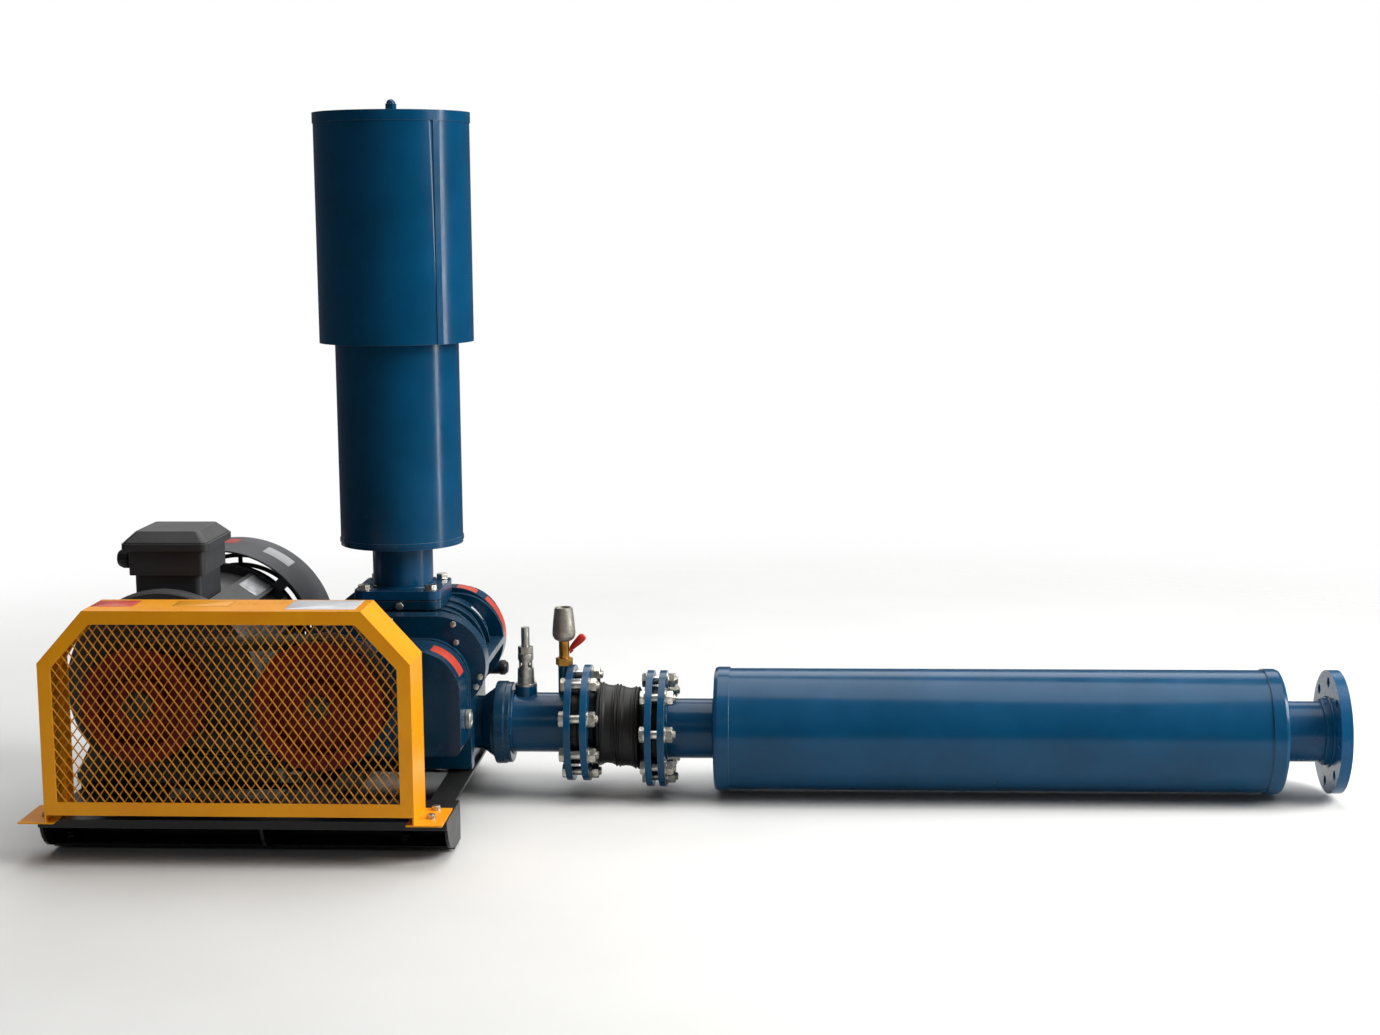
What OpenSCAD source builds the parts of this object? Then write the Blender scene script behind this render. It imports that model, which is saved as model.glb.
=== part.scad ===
// Roots blower set: three-lobe rotary blower, belt drive, motor and silencers on one skid.
// Millimetres, +Z up. X runs along the discharge line, Y runs back from the belt guard.
// The origin is at floor level under the middle of the skid.

/* [Skid] */
// Length of the skid along X
skid_w = 675; // [668:1:720]
// Depth of the skid along Y
skid_d = 640; // [630:5:700]
// Height of the skid rails
rail_h = 66; // [60:1:80]
// Thickness of the bent plate
plate_t = 5; // [4:0.5:6]
// Height of the levelling bolt heads under the rails
foot_h = 6; // [5:0.5:10]
// Width across flats of the levelling bolts
foot_af = 19; // [17:1:24]
// Depth of the front rail's top flange
front_top_d = 132; // [125:1:140]
// Depth of the front rail's bottom flange
front_low_d = 63; // [50:1:75]
// Height of the lip folded down from the front edge
front_lip_h = 14; // [10:1:20]
// Width of the side rails' outer flange
side_flange_w = 43; // [38:1:46]
// Width of the middle rail
mid_rail_w = 72; // [64:2:78]
// Diameter of the anchor holes in the front rail's bottom flange
anchor_hole_d = 14; // [10:1:18]

/* [Motor] */
// Place of the motor shaft along X
motor_x = -158; // [-160:0.5:-156]
// Height of the motor shaft over its feet
motor_shaft_h = 180; // [178:1:190]
// Thickness of the slide rails under the motor
slide_t = 12; // [10:1:16]
// Radius of the stator barrel
barrel_r = 138; // [132:1:142]
// Height of the cooling fins
fin_h = 20; // [14:1:24]
// Thickness of a cooling fin
fin_t = 4; // [3:0.5:5]
// Length of the stator barrel
barrel_len = 327; // [322:1:340]
// Radius of the fan cowl
cowl_r = 179; // [176:0.5:179.5]
// Length of the fan cowl
cowl_len = 165; // [150:1:170]
// Diameter of the motor shaft's drive end
motor_shaft_d = 48; // [38:1:50]
// Distance between the foot holes along X
motor_foot_a = 279; // [270:1:285]
// Distance between the foot holes along Y
motor_foot_b = 241; // [235:1:245]
// Width of the terminal box
tbox_w = 130; // [115:1:140]
// Depth of the terminal box
tbox_d = 142; // [125:1:150]
// Air gap between rotor core and stator
air_gap = 0.8; // [0.5:0.1:1.5]

/* [Belt drive] */
// Outside diameter of the motor pulley
motor_pulley_d = 190; // [180:2:200]
// Outside diameter of the blower pulley
blower_pulley_d = 212; // [200:2:220]
// Number of belts
belt_n = 4; // [2:1:4]
// Distance from belt to belt
belt_pitch = 19; // [18.5:0.5:20]
// Width of a belt at its back
belt_w = 17; // [15:0.5:17]
// Height of a belt
belt_h = 11; // [9:0.5:11]
// Free gap between a belt and its groove
belt_clear = 0.3; // [0.3:0.1:0.6]
// Distance from the last groove to the pulley's edge
pulley_edge = 12.5; // [11:0.5:14]

/* [Belt guard] */
// Width of the guard
guard_w = 605; // [600:1:612]
// How far the guard's middle lies left of the pulleys' middle
guard_shift = 6.75; // [4:0.25:8]
// Depth of the guard
guard_d = 104; // [100:1:108]
// Height of the guard's top over the skid
guard_h = 352; // [345:1:365]
// Reach of the corner slopes along X
guard_slope_w = 77; // [70:1:82]
// Reach of the corner slopes along Z
guard_slope_h = 86; // [78:1:92]
// Sheet thickness of the guard
guard_t = 2.5; // [2:0.5:3]
// Width of the front frame's bars
guard_bar = 22; // [18:1:26]
// Gap between the skid and the guard's front frame
guard_lift = 15; // [12:1:20]
// Length of the foot tabs
tab_w = 45; // [40:1:47]
// Width of one mesh opening
mesh_w = 16; // [14:1:24]
// Height of one mesh opening
mesh_h = 22.4; // [20:0.2:32]
// Width of a mesh strand
strand_w = 2.2; // [1.8:0.1:3]
// Thickness of a mesh strand
strand_t = 1.4; // [1:0.1:2]

/* [Blower] */
// Place of the blower's port along X
blower_x = 190.5; // [190:0.5:192]
// Place of the ports and pipe line along Y
line_y = 130.5; // [128:0.5:132]
// Height of the rotor axes over the skid
blower_shaft_h = 192; // [190:1:200]
// Distance between the two rotor axes
rotor_cd = 112; // [106:1:112]
// Length of the rotor bores
bore_len = 213; // [205:1:220]
// Gap between rotor lobes, and from tips to bore
rotor_gap = 0.5; // [0.4:0.1:0.8]
// Gap from rotor ends to the end plates
end_gap = 0.4; // [0.3:0.1:0.8]
// Wall of the rotor casing
casing_wall = 9; // [8:0.5:10]
// Thickness of the end plates
end_plate_t = 26; // [24:1:30]
// Half width of the front end plate
plate_half_w = 167; // [165:1:170]
// Half width of the rear end plate
rear_half_w = 165; // [162:1:167]
// Half height of the front end plate
plate_half_h = 87; // [86:1:92]
// Half width of the front oil cover
cover_half_w = 139; // [135:1:141]
// Depth of the front oil cover below the rotor axes
cover_drop = 137; // [130:1:145]
// Depth of the front sight glass below the rotor axes
sight_drop = 86; // [75:1:100]
// Corner radius of the front oil cover
cover_corner_r = 75; // [60:1:80]
// Length of the front oil cover
cover_len = 96; // [85:1:105]
// Wall of the oil covers
cover_wall = 8; // [6:1:10]
// Bore of the rotor bearings
bearing_bore = 40; // [38:1:42]
// Outside diameter of the rotor bearings
bearing_od = 90; // [86:1:92]
// Width of the rotor bearings
bearing_w = 23; // [20:1:24]
// Running gap between a shaft and its bearing or seal
shaft_gap = 0.05; // [0.03:0.01:0.08]
// Length of the gear case
gear_case_len = 88; // [80:1:95]
// Number of teeth on a timing gear
gear_teeth = 28; // [26:2:30]
// Face width of a timing gear
gear_w = 32; // [26:1:36]
// Backlash between the timing gears
backlash = 0.5; // [0.4:0.1:0.8]

/* [Intake silencer] */
// Side of the square intake flange
intake_flange_w = 155; // [150:1:160]
// Thickness of the intake flange
intake_flange_t = 16; // [12:1:18]
// Distance between the intake flange bolts
intake_bolt_a = 120; // [118:1:124]
// Height of the neck over the flange
neck_h = 77; // [60:1:90]
// Outside diameter of the lower drum
drum_d = 219; // [200:1:230]
// Length of the lower drum that shows under the hood
drum_show_h = 362; // [300:2:400]
// Length of the drum inside the hood
drum_in_h = 80; // [60:1:100]
// Outside diameter of the hood
hood_d = 273; // [262:1:280]
// Height of the hood
hood_h = 383; // [340:1:420]
// Height of the lid's rim
lid_h = 18; // [14:1:22]
// Sheet thickness of drum and hood
sheet_t = 3; // [2:0.5:4]
// Height of the four spacers between hood and drum
spacer_h = 40; // [30:1:46]
// Outside diameter of the filter
filter_d = 200; // [180:2:210]

/* [Discharge line] */
// Outside diameter of the pipe
pipe_d = 108; // [104:1:112]
// Wall of the pipe
pipe_wall = 4; // [3:0.5:5]
// Wall of the silencer's perforated core tube
core_wall = 2; // [1.5:0.5:3]
// Height of the pipe's axis over the floor
line_z = 130; // [128:1:132]
// Drop of the silencer's axis below the pipe's axis, taken up by the rubber joint
line_drop = 10; // [0:1:11]
// Outside diameter of the joint flanges
joint_flange_d = 210; // [206:1:214]
// Thickness of the joint flanges
joint_flange_t = 12; // [10:1:13]
// Bolt circle of the joint flanges
joint_pcd = 175; // [172:1:178]
// Number of bolts in a joint
joint_bolt_n = 8; // [4:4:8]
// Size of the joint bolts
joint_bolt_d = 16; // [12:1:16]
// Diameter of the bolt holes in joint and end flanges
bolt_hole_d = 18; // [18:0.5:19]
// Length of the outlet pipe from union to first flange
outlet_pipe_len = 88; // [86:1:100]
// Thickness of the check valve ring
check_t = 9; // [9:0.5:12]
// Thickness of the rubber beads
bead_t = 8; // [6:0.5:10]
// Length of the rubber body between its flanges
rubber_len = 103; // [95:1:120]
// Thickness of the gasket at the silencer
gasket_t = 3; // [2:0.5:4]

/* [Discharge silencer] */
// Length of the inlet stub between flange and drum
stub_in_len = 87; // [80:1:110]
// Length of the silencer drum over its end caps
silencer_len = 1008; // [900:4:1100]
// Outside diameter of the silencer shell
silencer_d = 219; // [210:1:222]
// Outside diameter of the cap rims
cap_d = 224; // [223:0.5:226]
// Width of the cap rims
cap_w = 28; // [20:1:34]
// Length of the outlet stub between drum and end flange
stub_out_len = 87; // [70:1:110]
// Outside diameter of the end flange
end_flange_d = 220; // [218:1:224]
// Thickness of the end flange
end_flange_t = 20; // [16:1:22]
// Bolt circle of the end flange
end_pcd = 180; // [178:1:182]
// Number of bolt holes in the end flange
end_bolt_n = 8; // [4:4:8]

/* [Valves] */
// Distance from the union to the relief valve
relief_offset = 23; // [22:1:30]
// Travel of the relief valve disc
relief_lift = 5; // [3:0.5:6]
// Distance from the first flange back to the vent valve
vent_offset = 7; // [6:0.5:12]
// Diameter of the vent ball
vent_ball_d = 14; // [12:0.5:14.5]

/* [Hidden] */
$fn = 48;

guard_yellow = "#e8980c";
machine_blue = "#0d4263";
motor_grey = "#4b4c50";
skid_black = "#1c1c1e";
pulley_red = "#7c1d16";
bare_steel = "#b9b9b4";
zinc = "#c9c7bf";
brass = "#b98a3f";
rubber_black = "#17181a";

eps = 0.01;
fit_gap = 0.05;
skid_top = foot_h + rail_h;
skid_y0 = -skid_d / 2;
motor_z = skid_top + slide_t + motor_shaft_h;
blower_z = skid_top + blower_shaft_h;
drive_x = blower_x - rotor_cd / 2;
driven_x = blower_x + rotor_cd / 2;

// Runs a flat outline drawn in (x, z) from y0 to y1.
module along_y(y0, y1) {
  translate([0, y1, 0]) rotate([90, 0, 0]) linear_extrude(y1 - y0) children();
}

// Runs a flat outline drawn in (y, z) from x0 to x1.
module along_x(x0, x1) {
  translate([x0, 0, 0]) rotate([90, 0, 90]) linear_extrude(x1 - x0) children();
}

module y_rod(r, y0, y1) {
  translate([0, y0, 0]) rotate([-90, 0, 0]) cylinder(r = r, h = y1 - y0);
}

module x_rod(r, x0, x1) {
  translate([x0, 0, 0]) rotate([0, 90, 0]) cylinder(r = r, h = x1 - x0);
}

// Turns a profile of (radius, x) points round the X axis.
module turned_x(points) {
  rotate([0, 90, 0]) rotate_extrude($fn = 72) polygon(points);
}

// Turns a profile of (radius, y) points round the Y axis.
module turned_y(points) {
  rotate([-90, 0, 0]) rotate_extrude($fn = 72) polygon(points);
}

// Upright outline with round ends: half is half the distance between end centres.
module stadium(half, r) {
  translate([-half, 0]) circle(r, $fn = 72);
  translate([half, 0]) circle(r, $fn = 72);
  translate([-half, -r]) square([2 * half, 2 * r]);
}

// Rectangle centred on the origin with four round corners.
module round_rect(w, h, r) {
  for (sx = [-1, 1], sy = [-1, 1]) translate([sx * (w / 2 - r), sy * (h / 2 - r)]) circle(r);
  square([w - 2 * r, h], center = true);
  square([w, h - 2 * r], center = true);
}

// Hexagon head or nut standing on z = 0, af across flats.
module hex_block(af, h) {
  cylinder(d = af / cos(30), h = h, $fn = 6);
}

// Bolt along Z: the head ends at z = 0 and the nut starts at z = grip.
module bolt_and_nut(d, af, grip) {
  head_h = 0.62 * d;
  nut_h = 0.8 * d;
  translate([0, 0, -head_h]) hex_block(af, head_h);
  translate([0, 0, -eps]) cylinder(d = d, h = grip + nut_h + 0.25 * d);
  translate([0, 0, grip]) hex_block(af, nut_h);
}

// Screw standing on z = 0 with its head up and its shank going down.
module screw_down(d, af, depth) {
  hex_block(af, 0.65 * d);
  translate([0, 0, -depth]) cylinder(d = d, h = depth + eps);
}

// Ball bearing round the Y axis from y0: outer ring, inner ring and balls.
module ball_bearing(bore_r, outer_r, w, y0) {
  mid_r = (bore_r + outer_r) / 2;
  ball_r = (outer_r - bore_r) * 0.27;
  ring_t = (outer_r - bore_r) * 0.27;
  ball_n = floor(360 / (2 * asin(ball_r * 1.08 / mid_r)));
  translate([0, y0, 0]) {
    for (side = [0, 1]) {
      turned_y_ring(side == 0 ? bore_r : outer_r - ring_t,
                    side == 0 ? bore_r + ring_t : outer_r, w, mid_r, ball_r + 0.05);
    }
    for (i = [0:ball_n - 1]) {
      rotate([0, i * 360 / ball_n, 0]) translate([mid_r, w / 2, 0]) sphere(ball_r, $fn = 24);
    }
  }
}

// One bearing ring with the ball groove taken out of it.
module turned_y_ring(r0, r1, w, groove_r, ball_r) {
  rotate([-90, 0, 0]) difference() {
    cylinder(r = r1, h = w, $fn = 72);
    translate([0, 0, -1]) cylinder(r = r0, h = w + 2, $fn = 72);
    translate([0, 0, w / 2]) rotate_extrude($fn = 72) translate([groove_r, 0]) circle(ball_r, $fn = 24);
  }
}

// Skid: welded from bent plate, with a deep front flange that carries the guard.
flange_x = skid_w / 2 - 7;
side_web_x = flange_x - side_flange_w;
mid_rail_x0 = 28;
web_y = skid_y0 + front_top_d;
lip_y = web_y - front_low_d;
foot_places = [
  [-flange_x + 10, web_y - 35], [252, web_y - 35],
  [-side_web_x + 14, -skid_y0 - 40], [side_web_x - 14, -skid_y0 - 40],
  [-side_web_x + 14, 0], [side_web_x - 14, 0]
];

module front_rail_outline() {
  low = foot_h;
  translate([skid_y0, skid_top - plate_t]) square([front_top_d, plate_t]);
  translate([skid_y0, skid_top - front_lip_h]) square([plate_t, front_lip_h]);
  translate([web_y - plate_t, low]) square([plate_t, rail_h]);
  translate([lip_y, low]) square([front_low_d, plate_t]);
}

// Gusset between the front flanges, its free edge swept back in a curve.
module gusset_outline() {
  reach = lip_y - skid_y0;
  drop = rail_h - 2 * plate_t;
  polygon(concat(
    [[web_y, foot_h + plate_t], [web_y, skid_top - plate_t], [skid_y0 + plate_t, skid_top - plate_t]],
    [for (a = [0:15:90]) [
      skid_y0 + plate_t + (reach - plate_t) * (1 - cos(a)),
      skid_top - plate_t - drop * sin(a)]]
  ));
}

// Side rail seen from the front: web, outer flange on top, inner flange below.
module side_rail_outline(side) {
  mirror([side < 0 ? 1 : 0, 0]) {
    translate([side_web_x, foot_h]) square([plate_t, rail_h]);
    translate([side_web_x, skid_top - plate_t]) square([side_flange_w, plate_t]);
    translate([side_web_x - 40 + plate_t, foot_h]) square([40, plate_t]);
  }
}

module skid_frame() color(skid_black) {
  difference() {
    union() {
      along_x(-skid_w / 2, skid_w / 2) front_rail_outline();
      for (x = [-skid_w / 2, mid_rail_x0, skid_w / 2 - plate_t]) along_x(x, x + plate_t) gusset_outline();
      for (side = [-1, 1]) along_y(web_y - eps, -skid_y0) side_rail_outline(side);
      along_y(web_y - eps, -skid_y0) {
        translate([mid_rail_x0, foot_h]) square([plate_t, rail_h]);
        translate([mid_rail_x0 + mid_rail_w - plate_t, foot_h]) square([plate_t, rail_h]);
        translate([mid_rail_x0, skid_top - plate_t]) square([mid_rail_w, plate_t]);
      }
      translate([-side_web_x, -skid_y0 - plate_t, foot_h]) cube([2 * side_web_x, plate_t, rail_h]);
      translate([-side_web_x, -skid_y0 - 60, foot_h]) cube([2 * side_web_x, 60, plate_t]);
      for (side = [-1, 1]) translate([side * (side_web_x - 14) - 20, -20, foot_h])
        cube([40, 40, plate_t]);
    }
    for (p = anchor_places) translate([p[0], p[1], -1]) cylinder(d = anchor_hole_d, h = foot_h + plate_t + 2);
    for (p = foot_places) translate([p[0], p[1], -1]) cylinder(d = 12.2, h = foot_h + plate_t + 2);
    for (p = guard_screw_places)
      translate([p[0], p[1], skid_top - plate_t - 1]) cylinder(d = 8.4, h = plate_t + 2);
    for (p = slide_screw_places)
      translate([p[0], p[1], skid_top - plate_t - 1]) cylinder(d = 10.4, h = plate_t + 2);
    for (p = casing_foot_places)
      translate([p[0], p[1], skid_top - plate_t - 1]) cylinder(d = 12.4, h = plate_t + 2);
  }
}

anchor_y = lip_y + 22;
anchor_places = [[-flange_x + 60, anchor_y], [flange_x - 38, anchor_y],
                 [60 - side_web_x, -skid_y0 - 38], [side_web_x - 60, -skid_y0 - 38]];

module levelling_bolts() color(skid_black)
  for (p = foot_places) translate([p[0], p[1], 0]) {
    hex_block(foot_af, foot_h);
    translate([0, 0, foot_h - eps]) cylinder(d = 12, h = plate_t + 12);
    translate([0, 0, foot_h + plate_t]) hex_block(foot_af, 8);
  }

// Two flat slide rails let the motor move along X to tension the belts.
slide_x0 = -flange_x;
slide_x1 = mid_rail_x0 + 22;
shoulder_y = skid_y0 + 98;
foot_hole_y0 = shoulder_y + 121;
slide_ys = [foot_hole_y0, foot_hole_y0 + motor_foot_b];
slide_screw_places = [for (y = slide_ys, x = [slide_x0 + 12, slide_x1 - 10]) [x, y]];

module motor_slide_rails() color(skid_black)
  for (y = slide_ys) difference() {
    translate([slide_x0, y - 27, skid_top]) cube([slide_x1 - slide_x0, 54, slide_t]);
    for (side = [-1, 1]) translate([motor_x + side * motor_foot_a / 2, y, skid_top - 1])
      cylinder(d = 14.5, h = slide_t + 2);
    for (x = [slide_x0 + 12, slide_x1 - 10]) translate([x, y, skid_top - 1]) cylinder(d = 10.4, h = slide_t + 2);
  }

// Belt guard: a folded sheet shell, open at the back, with a framed mesh front.
guard_mid_x = (motor_x - motor_pulley_d / 2 + drive_x + blower_pulley_d / 2) / 2 - guard_shift;
guard_x0 = guard_mid_x - guard_w / 2;
guard_x1 = guard_mid_x + guard_w / 2;
guard_y0 = skid_y0 - 28;
guard_y1 = guard_y0 + guard_d;
guard_z0 = skid_top + guard_t;
guard_z1 = skid_top + guard_h;
tab_screw_d = 8;
guard_screw_places = [
  for (x = [guard_x0 - 11, guard_x1 + tab_w / 2 - 3], y = [guard_y0 + 43, guard_y1 - 10]) [x, y]
];

// Outline of the guard in (x, z), drawn in by inset.
function guard_outline(inset, low) = [
  [guard_x0 + inset, low],
  [guard_x0 + inset, guard_z1 - guard_slope_h - inset * 0.37],
  [guard_x0 + guard_slope_w + inset * 0.46, guard_z1 - inset],
  [guard_x1 - guard_slope_w - inset * 0.46, guard_z1 - inset],
  [guard_x1 - inset, guard_z1 - guard_slope_h - inset * 0.37],
  [guard_x1 - inset, low]
];

module guard_frame() color(guard_yellow) difference() {
  union() {
    along_y(guard_y0, guard_y1) difference() {
      polygon(guard_outline(0, guard_z0));
      polygon(guard_outline(guard_t, guard_z0 - 1));
    }
    along_y(guard_y0, guard_y0 + guard_t) difference() {
      polygon(guard_outline(0, skid_top + guard_lift));
      polygon(guard_outline(guard_bar, skid_top + guard_lift + guard_bar));
    }
    along_y(guard_y1 - guard_t, guard_y1) difference() {
      polygon(guard_outline(0, guard_z0));
      polygon(guard_outline(14, guard_z0 - 1));
    }
    for (x = [guard_x0 - tab_w, guard_x1 - 14])
      translate([x, guard_y0, skid_top]) cube([tab_w + 14, guard_d, guard_t]);
    translate([guard_x0, guard_y0, skid_top + guard_lift])
      cube([guard_w, 14, guard_t]);
  }
  for (p = guard_screw_places)
    translate([p[0], p[1], skid_top - 1]) cylinder(d = tab_screw_d + 0.4, h = guard_t + 2);
}

// Convex outline that the mesh strands are trimmed to, a little behind the bars.
mesh_lap = 8;
mesh_edge = guard_outline(guard_bar - mesh_lap, skid_top + guard_lift + guard_bar - mesh_lap);

// Distance along a line from p in direction d to its crossing with edge i of the outline.
function edge_cross(p, d, i) =
  let (a = mesh_edge[i], b = mesh_edge[(i + 1) % len(mesh_edge)], e = b - a,
       den = d[0] * e[1] - d[1] * e[0])
  abs(den) < 1e-6 ? undef : ((a[0] - p[0]) * e[1] - (a[1] - p[1]) * e[0]) / den;

// True where a point lies inside the outline, or on it.
function inside(p) = min([for (i = [0:len(mesh_edge) - 1])
  let (a = mesh_edge[i], b = mesh_edge[(i + 1) % len(mesh_edge)])
  (b[1] - a[1]) * (p[0] - a[0]) - (b[0] - a[0]) * (p[1] - a[1])]) > -1e-3;

// The two ends of the part of a line that lies inside the outline.
function trimmed(p, d) =
  let (ts = [for (i = [0:len(mesh_edge) - 1]) let (t = edge_cross(p, d, i)) if (t != undef) t])
  [for (t = ts) if (inside(p + t * d)) t];

// One layer of parallel strands, lean is 1 or -1.
module strand_layer(lean, y0) {
  slope = atan2(mesh_h, mesh_w);
  d = [cos(slope) * lean, sin(slope)];
  first = guard_x0 - (guard_z1 - skid_top) * mesh_w / mesh_h;
  last = guard_x1 + (guard_z1 - skid_top) * mesh_w / mesh_h;
  for (k = [0:floor((last - first) / mesh_w)]) {
    p = [first + k * mesh_w, skid_top + guard_lift + guard_bar];
    ends = trimmed(p, d);
    if (len(ends) > 1 && max(ends) - min(ends) > 12) {
      start = p + min(ends) * d;
      translate([start[0], y0, start[1]]) rotate([0, -atan2(d[1], d[0]), 0])
        translate([0, 0, -strand_w / 2]) cube([max(ends) - min(ends), strand_t, strand_w]);
    }
  }
}

module guard_mesh() color(guard_yellow) {
  strand_layer(1, guard_y0 + guard_t);
  strand_layer(-1, guard_y0 + guard_t + strand_t);
}

module guard_screws() color(zinc)
  for (p = guard_screw_places) translate([p[0], p[1], skid_top + guard_t])
    screw_down(tab_screw_d, 13, guard_t + plate_t + 4);

// Motor: finned barrel on cast feet, two end shields, cowl and top terminal box.
barrel_y0 = shoulder_y + 52;
barrel_y1 = barrel_y0 + barrel_len;
motor_mid_y = (slide_ys[0] + slide_ys[1]) / 2;
shield_r = barrel_r + fin_h + 7;
motor_bearing_r0 = motor_shaft_d / 2 + 4;
motor_bearing_r1 = motor_bearing_r0 + 32;
motor_bearing_w = 27;
rear_shield_t = 26;
core_y0 = barrel_y0 + 55;
core_y1 = barrel_y1 - 55;
core_r = barrel_r - 44;
tbox_z0 = motor_z + barrel_r + 43;
tbox_y = barrel_y0 + 36 + tbox_d / 2;
tbox_x = motor_x - 6;
cowl_y0 = barrel_y1 - 5;
cowl_y1 = cowl_y0 + cowl_len;

module at_motor() {
  translate([motor_x, 0, motor_z]) children();
}

plate_angle = 56;

module motor_barrel_outline() {
  difference() {
    union() {
      circle(barrel_r, $fn = 96);
      for (a = [-52:8:212]) if (abs(a - 90) > 26 && abs(a - plate_angle) > 12) rotate(a)
        translate([barrel_r - 5, -fin_t / 2]) square([fin_h + 5, fin_t]);
      rotate(plate_angle) translate([barrel_r - 20, -26]) square([30, 52]);
    }
    circle(barrel_r - 12, $fn = 96);
  }
}

module motor_frame() color(motor_grey) at_motor() {
  difference() {
    union() {
      along_y(barrel_y0, barrel_y1) motor_barrel_outline();
      for (y = slide_ys, side = [-1, 1]) {
        translate([side * motor_foot_a / 2 - 38, y - 30, -motor_shaft_h]) cube([76, 60, 16]);
        for (web = y > motor_mid_y ? [-24] : [-24, 24]) along_y(y + web - 4, y + web + 4) polygon([
          [side * (motor_foot_a / 2 + 34), -motor_shaft_h + 14], [side * (motor_foot_a / 2 + 34), -motor_shaft_h + 24],
          [side * (barrel_r - 14), -60], [side * (barrel_r - 60), -barrel_r + 40],
          [side * (motor_foot_a / 2 - 60), -motor_shaft_h + 14]]);
      }
      translate([tbox_x - motor_x, tbox_y, barrel_r - 12])
        linear_extrude(tbox_z0 - motor_z - barrel_r + 12) round_rect(tbox_w - 14, tbox_d - 14, 12);
    }
    y_rod(barrel_r - 12, barrel_y0 - 1, barrel_y1 + 1);
    translate([tbox_x - motor_x, tbox_y, 0]) cylinder(r = 22, h = tbox_z0 - motor_z + 1);
    for (y = slide_ys, side = [-1, 1])
      translate([side * motor_foot_a / 2, y, -motor_shaft_h - 1]) cylinder(d = 15, h = 18);
  }
}

module motor_foot_bolts() color(zinc)
  for (y = slide_ys, side = [-1, 1])
    translate([motor_x + side * motor_foot_a / 2, y, skid_top + slide_t + 16]) screw_down(12, 19, 16 + slide_t - 2);

// Drive end shield: bearing hub, dished wall and a rim wider than the fins.
module motor_drive_shield() color(motor_grey) at_motor() turned_y([
  [motor_bearing_r1 - 8, shoulder_y + 4], [motor_bearing_r1 + 12, shoulder_y + 4],
  [motor_bearing_r1 + 14, shoulder_y + 20],
  [shield_r - 22, barrel_y0 - 26], [shield_r - 4, barrel_y0 - 26], [shield_r, barrel_y0 - 22],
  [shield_r, barrel_y0], [barrel_r - 12.4, barrel_y0], [barrel_r - 12.4, barrel_y0 + 8],
  [barrel_r - 22, barrel_y0 + 8], [barrel_r - 24, barrel_y0 - 12],
  [motor_bearing_r1 + 8, shoulder_y + 10 + motor_bearing_w],
  [motor_bearing_r1, shoulder_y + 10 + motor_bearing_w], [motor_bearing_r1, shoulder_y + 9],
  [motor_bearing_r1 - 8, shoulder_y + 9]]);

rear_bearing_y = barrel_y1 + rear_shield_t - motor_bearing_w;

module motor_rear_shield() color(motor_grey) at_motor() turned_y([
  [motor_bearing_r0 + 3, barrel_y1 + rear_shield_t + 4], [motor_bearing_r1 + 10, barrel_y1 + rear_shield_t + 4],
  [shield_r - 30, barrel_y1 + 14], [shield_r - 12, barrel_y1 + 14],
  [shield_r - 12, barrel_y1], [barrel_r - 12.4, barrel_y1], [barrel_r - 12.4, barrel_y1 - 8],
  [barrel_r - 22, barrel_y1 - 8], [barrel_r - 24, barrel_y1 + 4],
  [motor_bearing_r1 + 8, barrel_y1 - 2], [motor_bearing_r1, barrel_y1 - 2],
  [motor_bearing_r1, barrel_y1 + rear_shield_t], [motor_bearing_r0 + 3, barrel_y1 + rear_shield_t]]);

module motor_bearings() color(bare_steel) at_motor() {
  ball_bearing(motor_bearing_r0, motor_bearing_r1, motor_bearing_w, shoulder_y + 9.5);
  ball_bearing(motor_bearing_r0, motor_bearing_r1, motor_bearing_w, rear_bearing_y);
}

// Fan cowl: a drum with a flanged back grille and four brackets to the rear shield.
module motor_cowl() color(motor_grey) at_motor() {
  difference() {
    union() {
      difference() {
        y_rod(cowl_r, cowl_y0, cowl_y1);
        y_rod(cowl_r - sheet_t, cowl_y0 - 1, cowl_y1 - sheet_t);
      }
      for (a = [45:90:315]) rotate([0, a, 0])
        translate([shield_r - 16, barrel_y1 + 2, -10])
          cube([cowl_r - sheet_t - shield_r + 17, 12, 20]);
    }
    y_rod(shield_r - 12 + fit_gap, barrel_y1 - 1, barrel_y1 + 15);
    for (r = [40:18:148]) difference() {
      y_rod(r + 10, cowl_y1 - sheet_t - 1, cowl_y1 + 1);
      y_rod(r, cowl_y1 - sheet_t - 2, cowl_y1 + 2);
      for (a = [0:45:135]) rotate([0, a, 0]) cube([2 * cowl_r + 40, 2 * cowl_y1 + 9, 8], center = true);
    }
  }
}

module motor_stator() color("#8b5a34") at_motor() {
  difference() {
    y_rod(barrel_r - 12, core_y0, core_y1);
    y_rod(core_r + air_gap, core_y0 - 1, core_y1 + 1);
  }
  for (y = [core_y0 - 34, core_y1]) difference() {
    y_rod(barrel_r - 22, y, y + 34);
    y_rod(core_r + 6, y - 1, y + 35);
  }
}

// Cast terminal box with a deeper skirt, and its sloped lid with a rounded rim.
tbox_body_h = 43;
lid_rim_h = 12;
lid_slope_h = 19;

module terminal_box() color(motor_grey) translate([tbox_x, tbox_y, tbox_z0]) difference() {
  linear_extrude(tbox_body_h) round_rect(tbox_w, tbox_d, 8);
  translate([0, 0, 6]) linear_extrude(tbox_body_h) round_rect(tbox_w - 12, tbox_d - 12, 5);
  translate([0, 0, -1]) cylinder(r = 20, h = 9);
  translate([-tbox_w / 2 - 1, -tbox_d / 2 + 42, tbox_body_h - 20]) x_rod(11, 0, 9);
}

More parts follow.
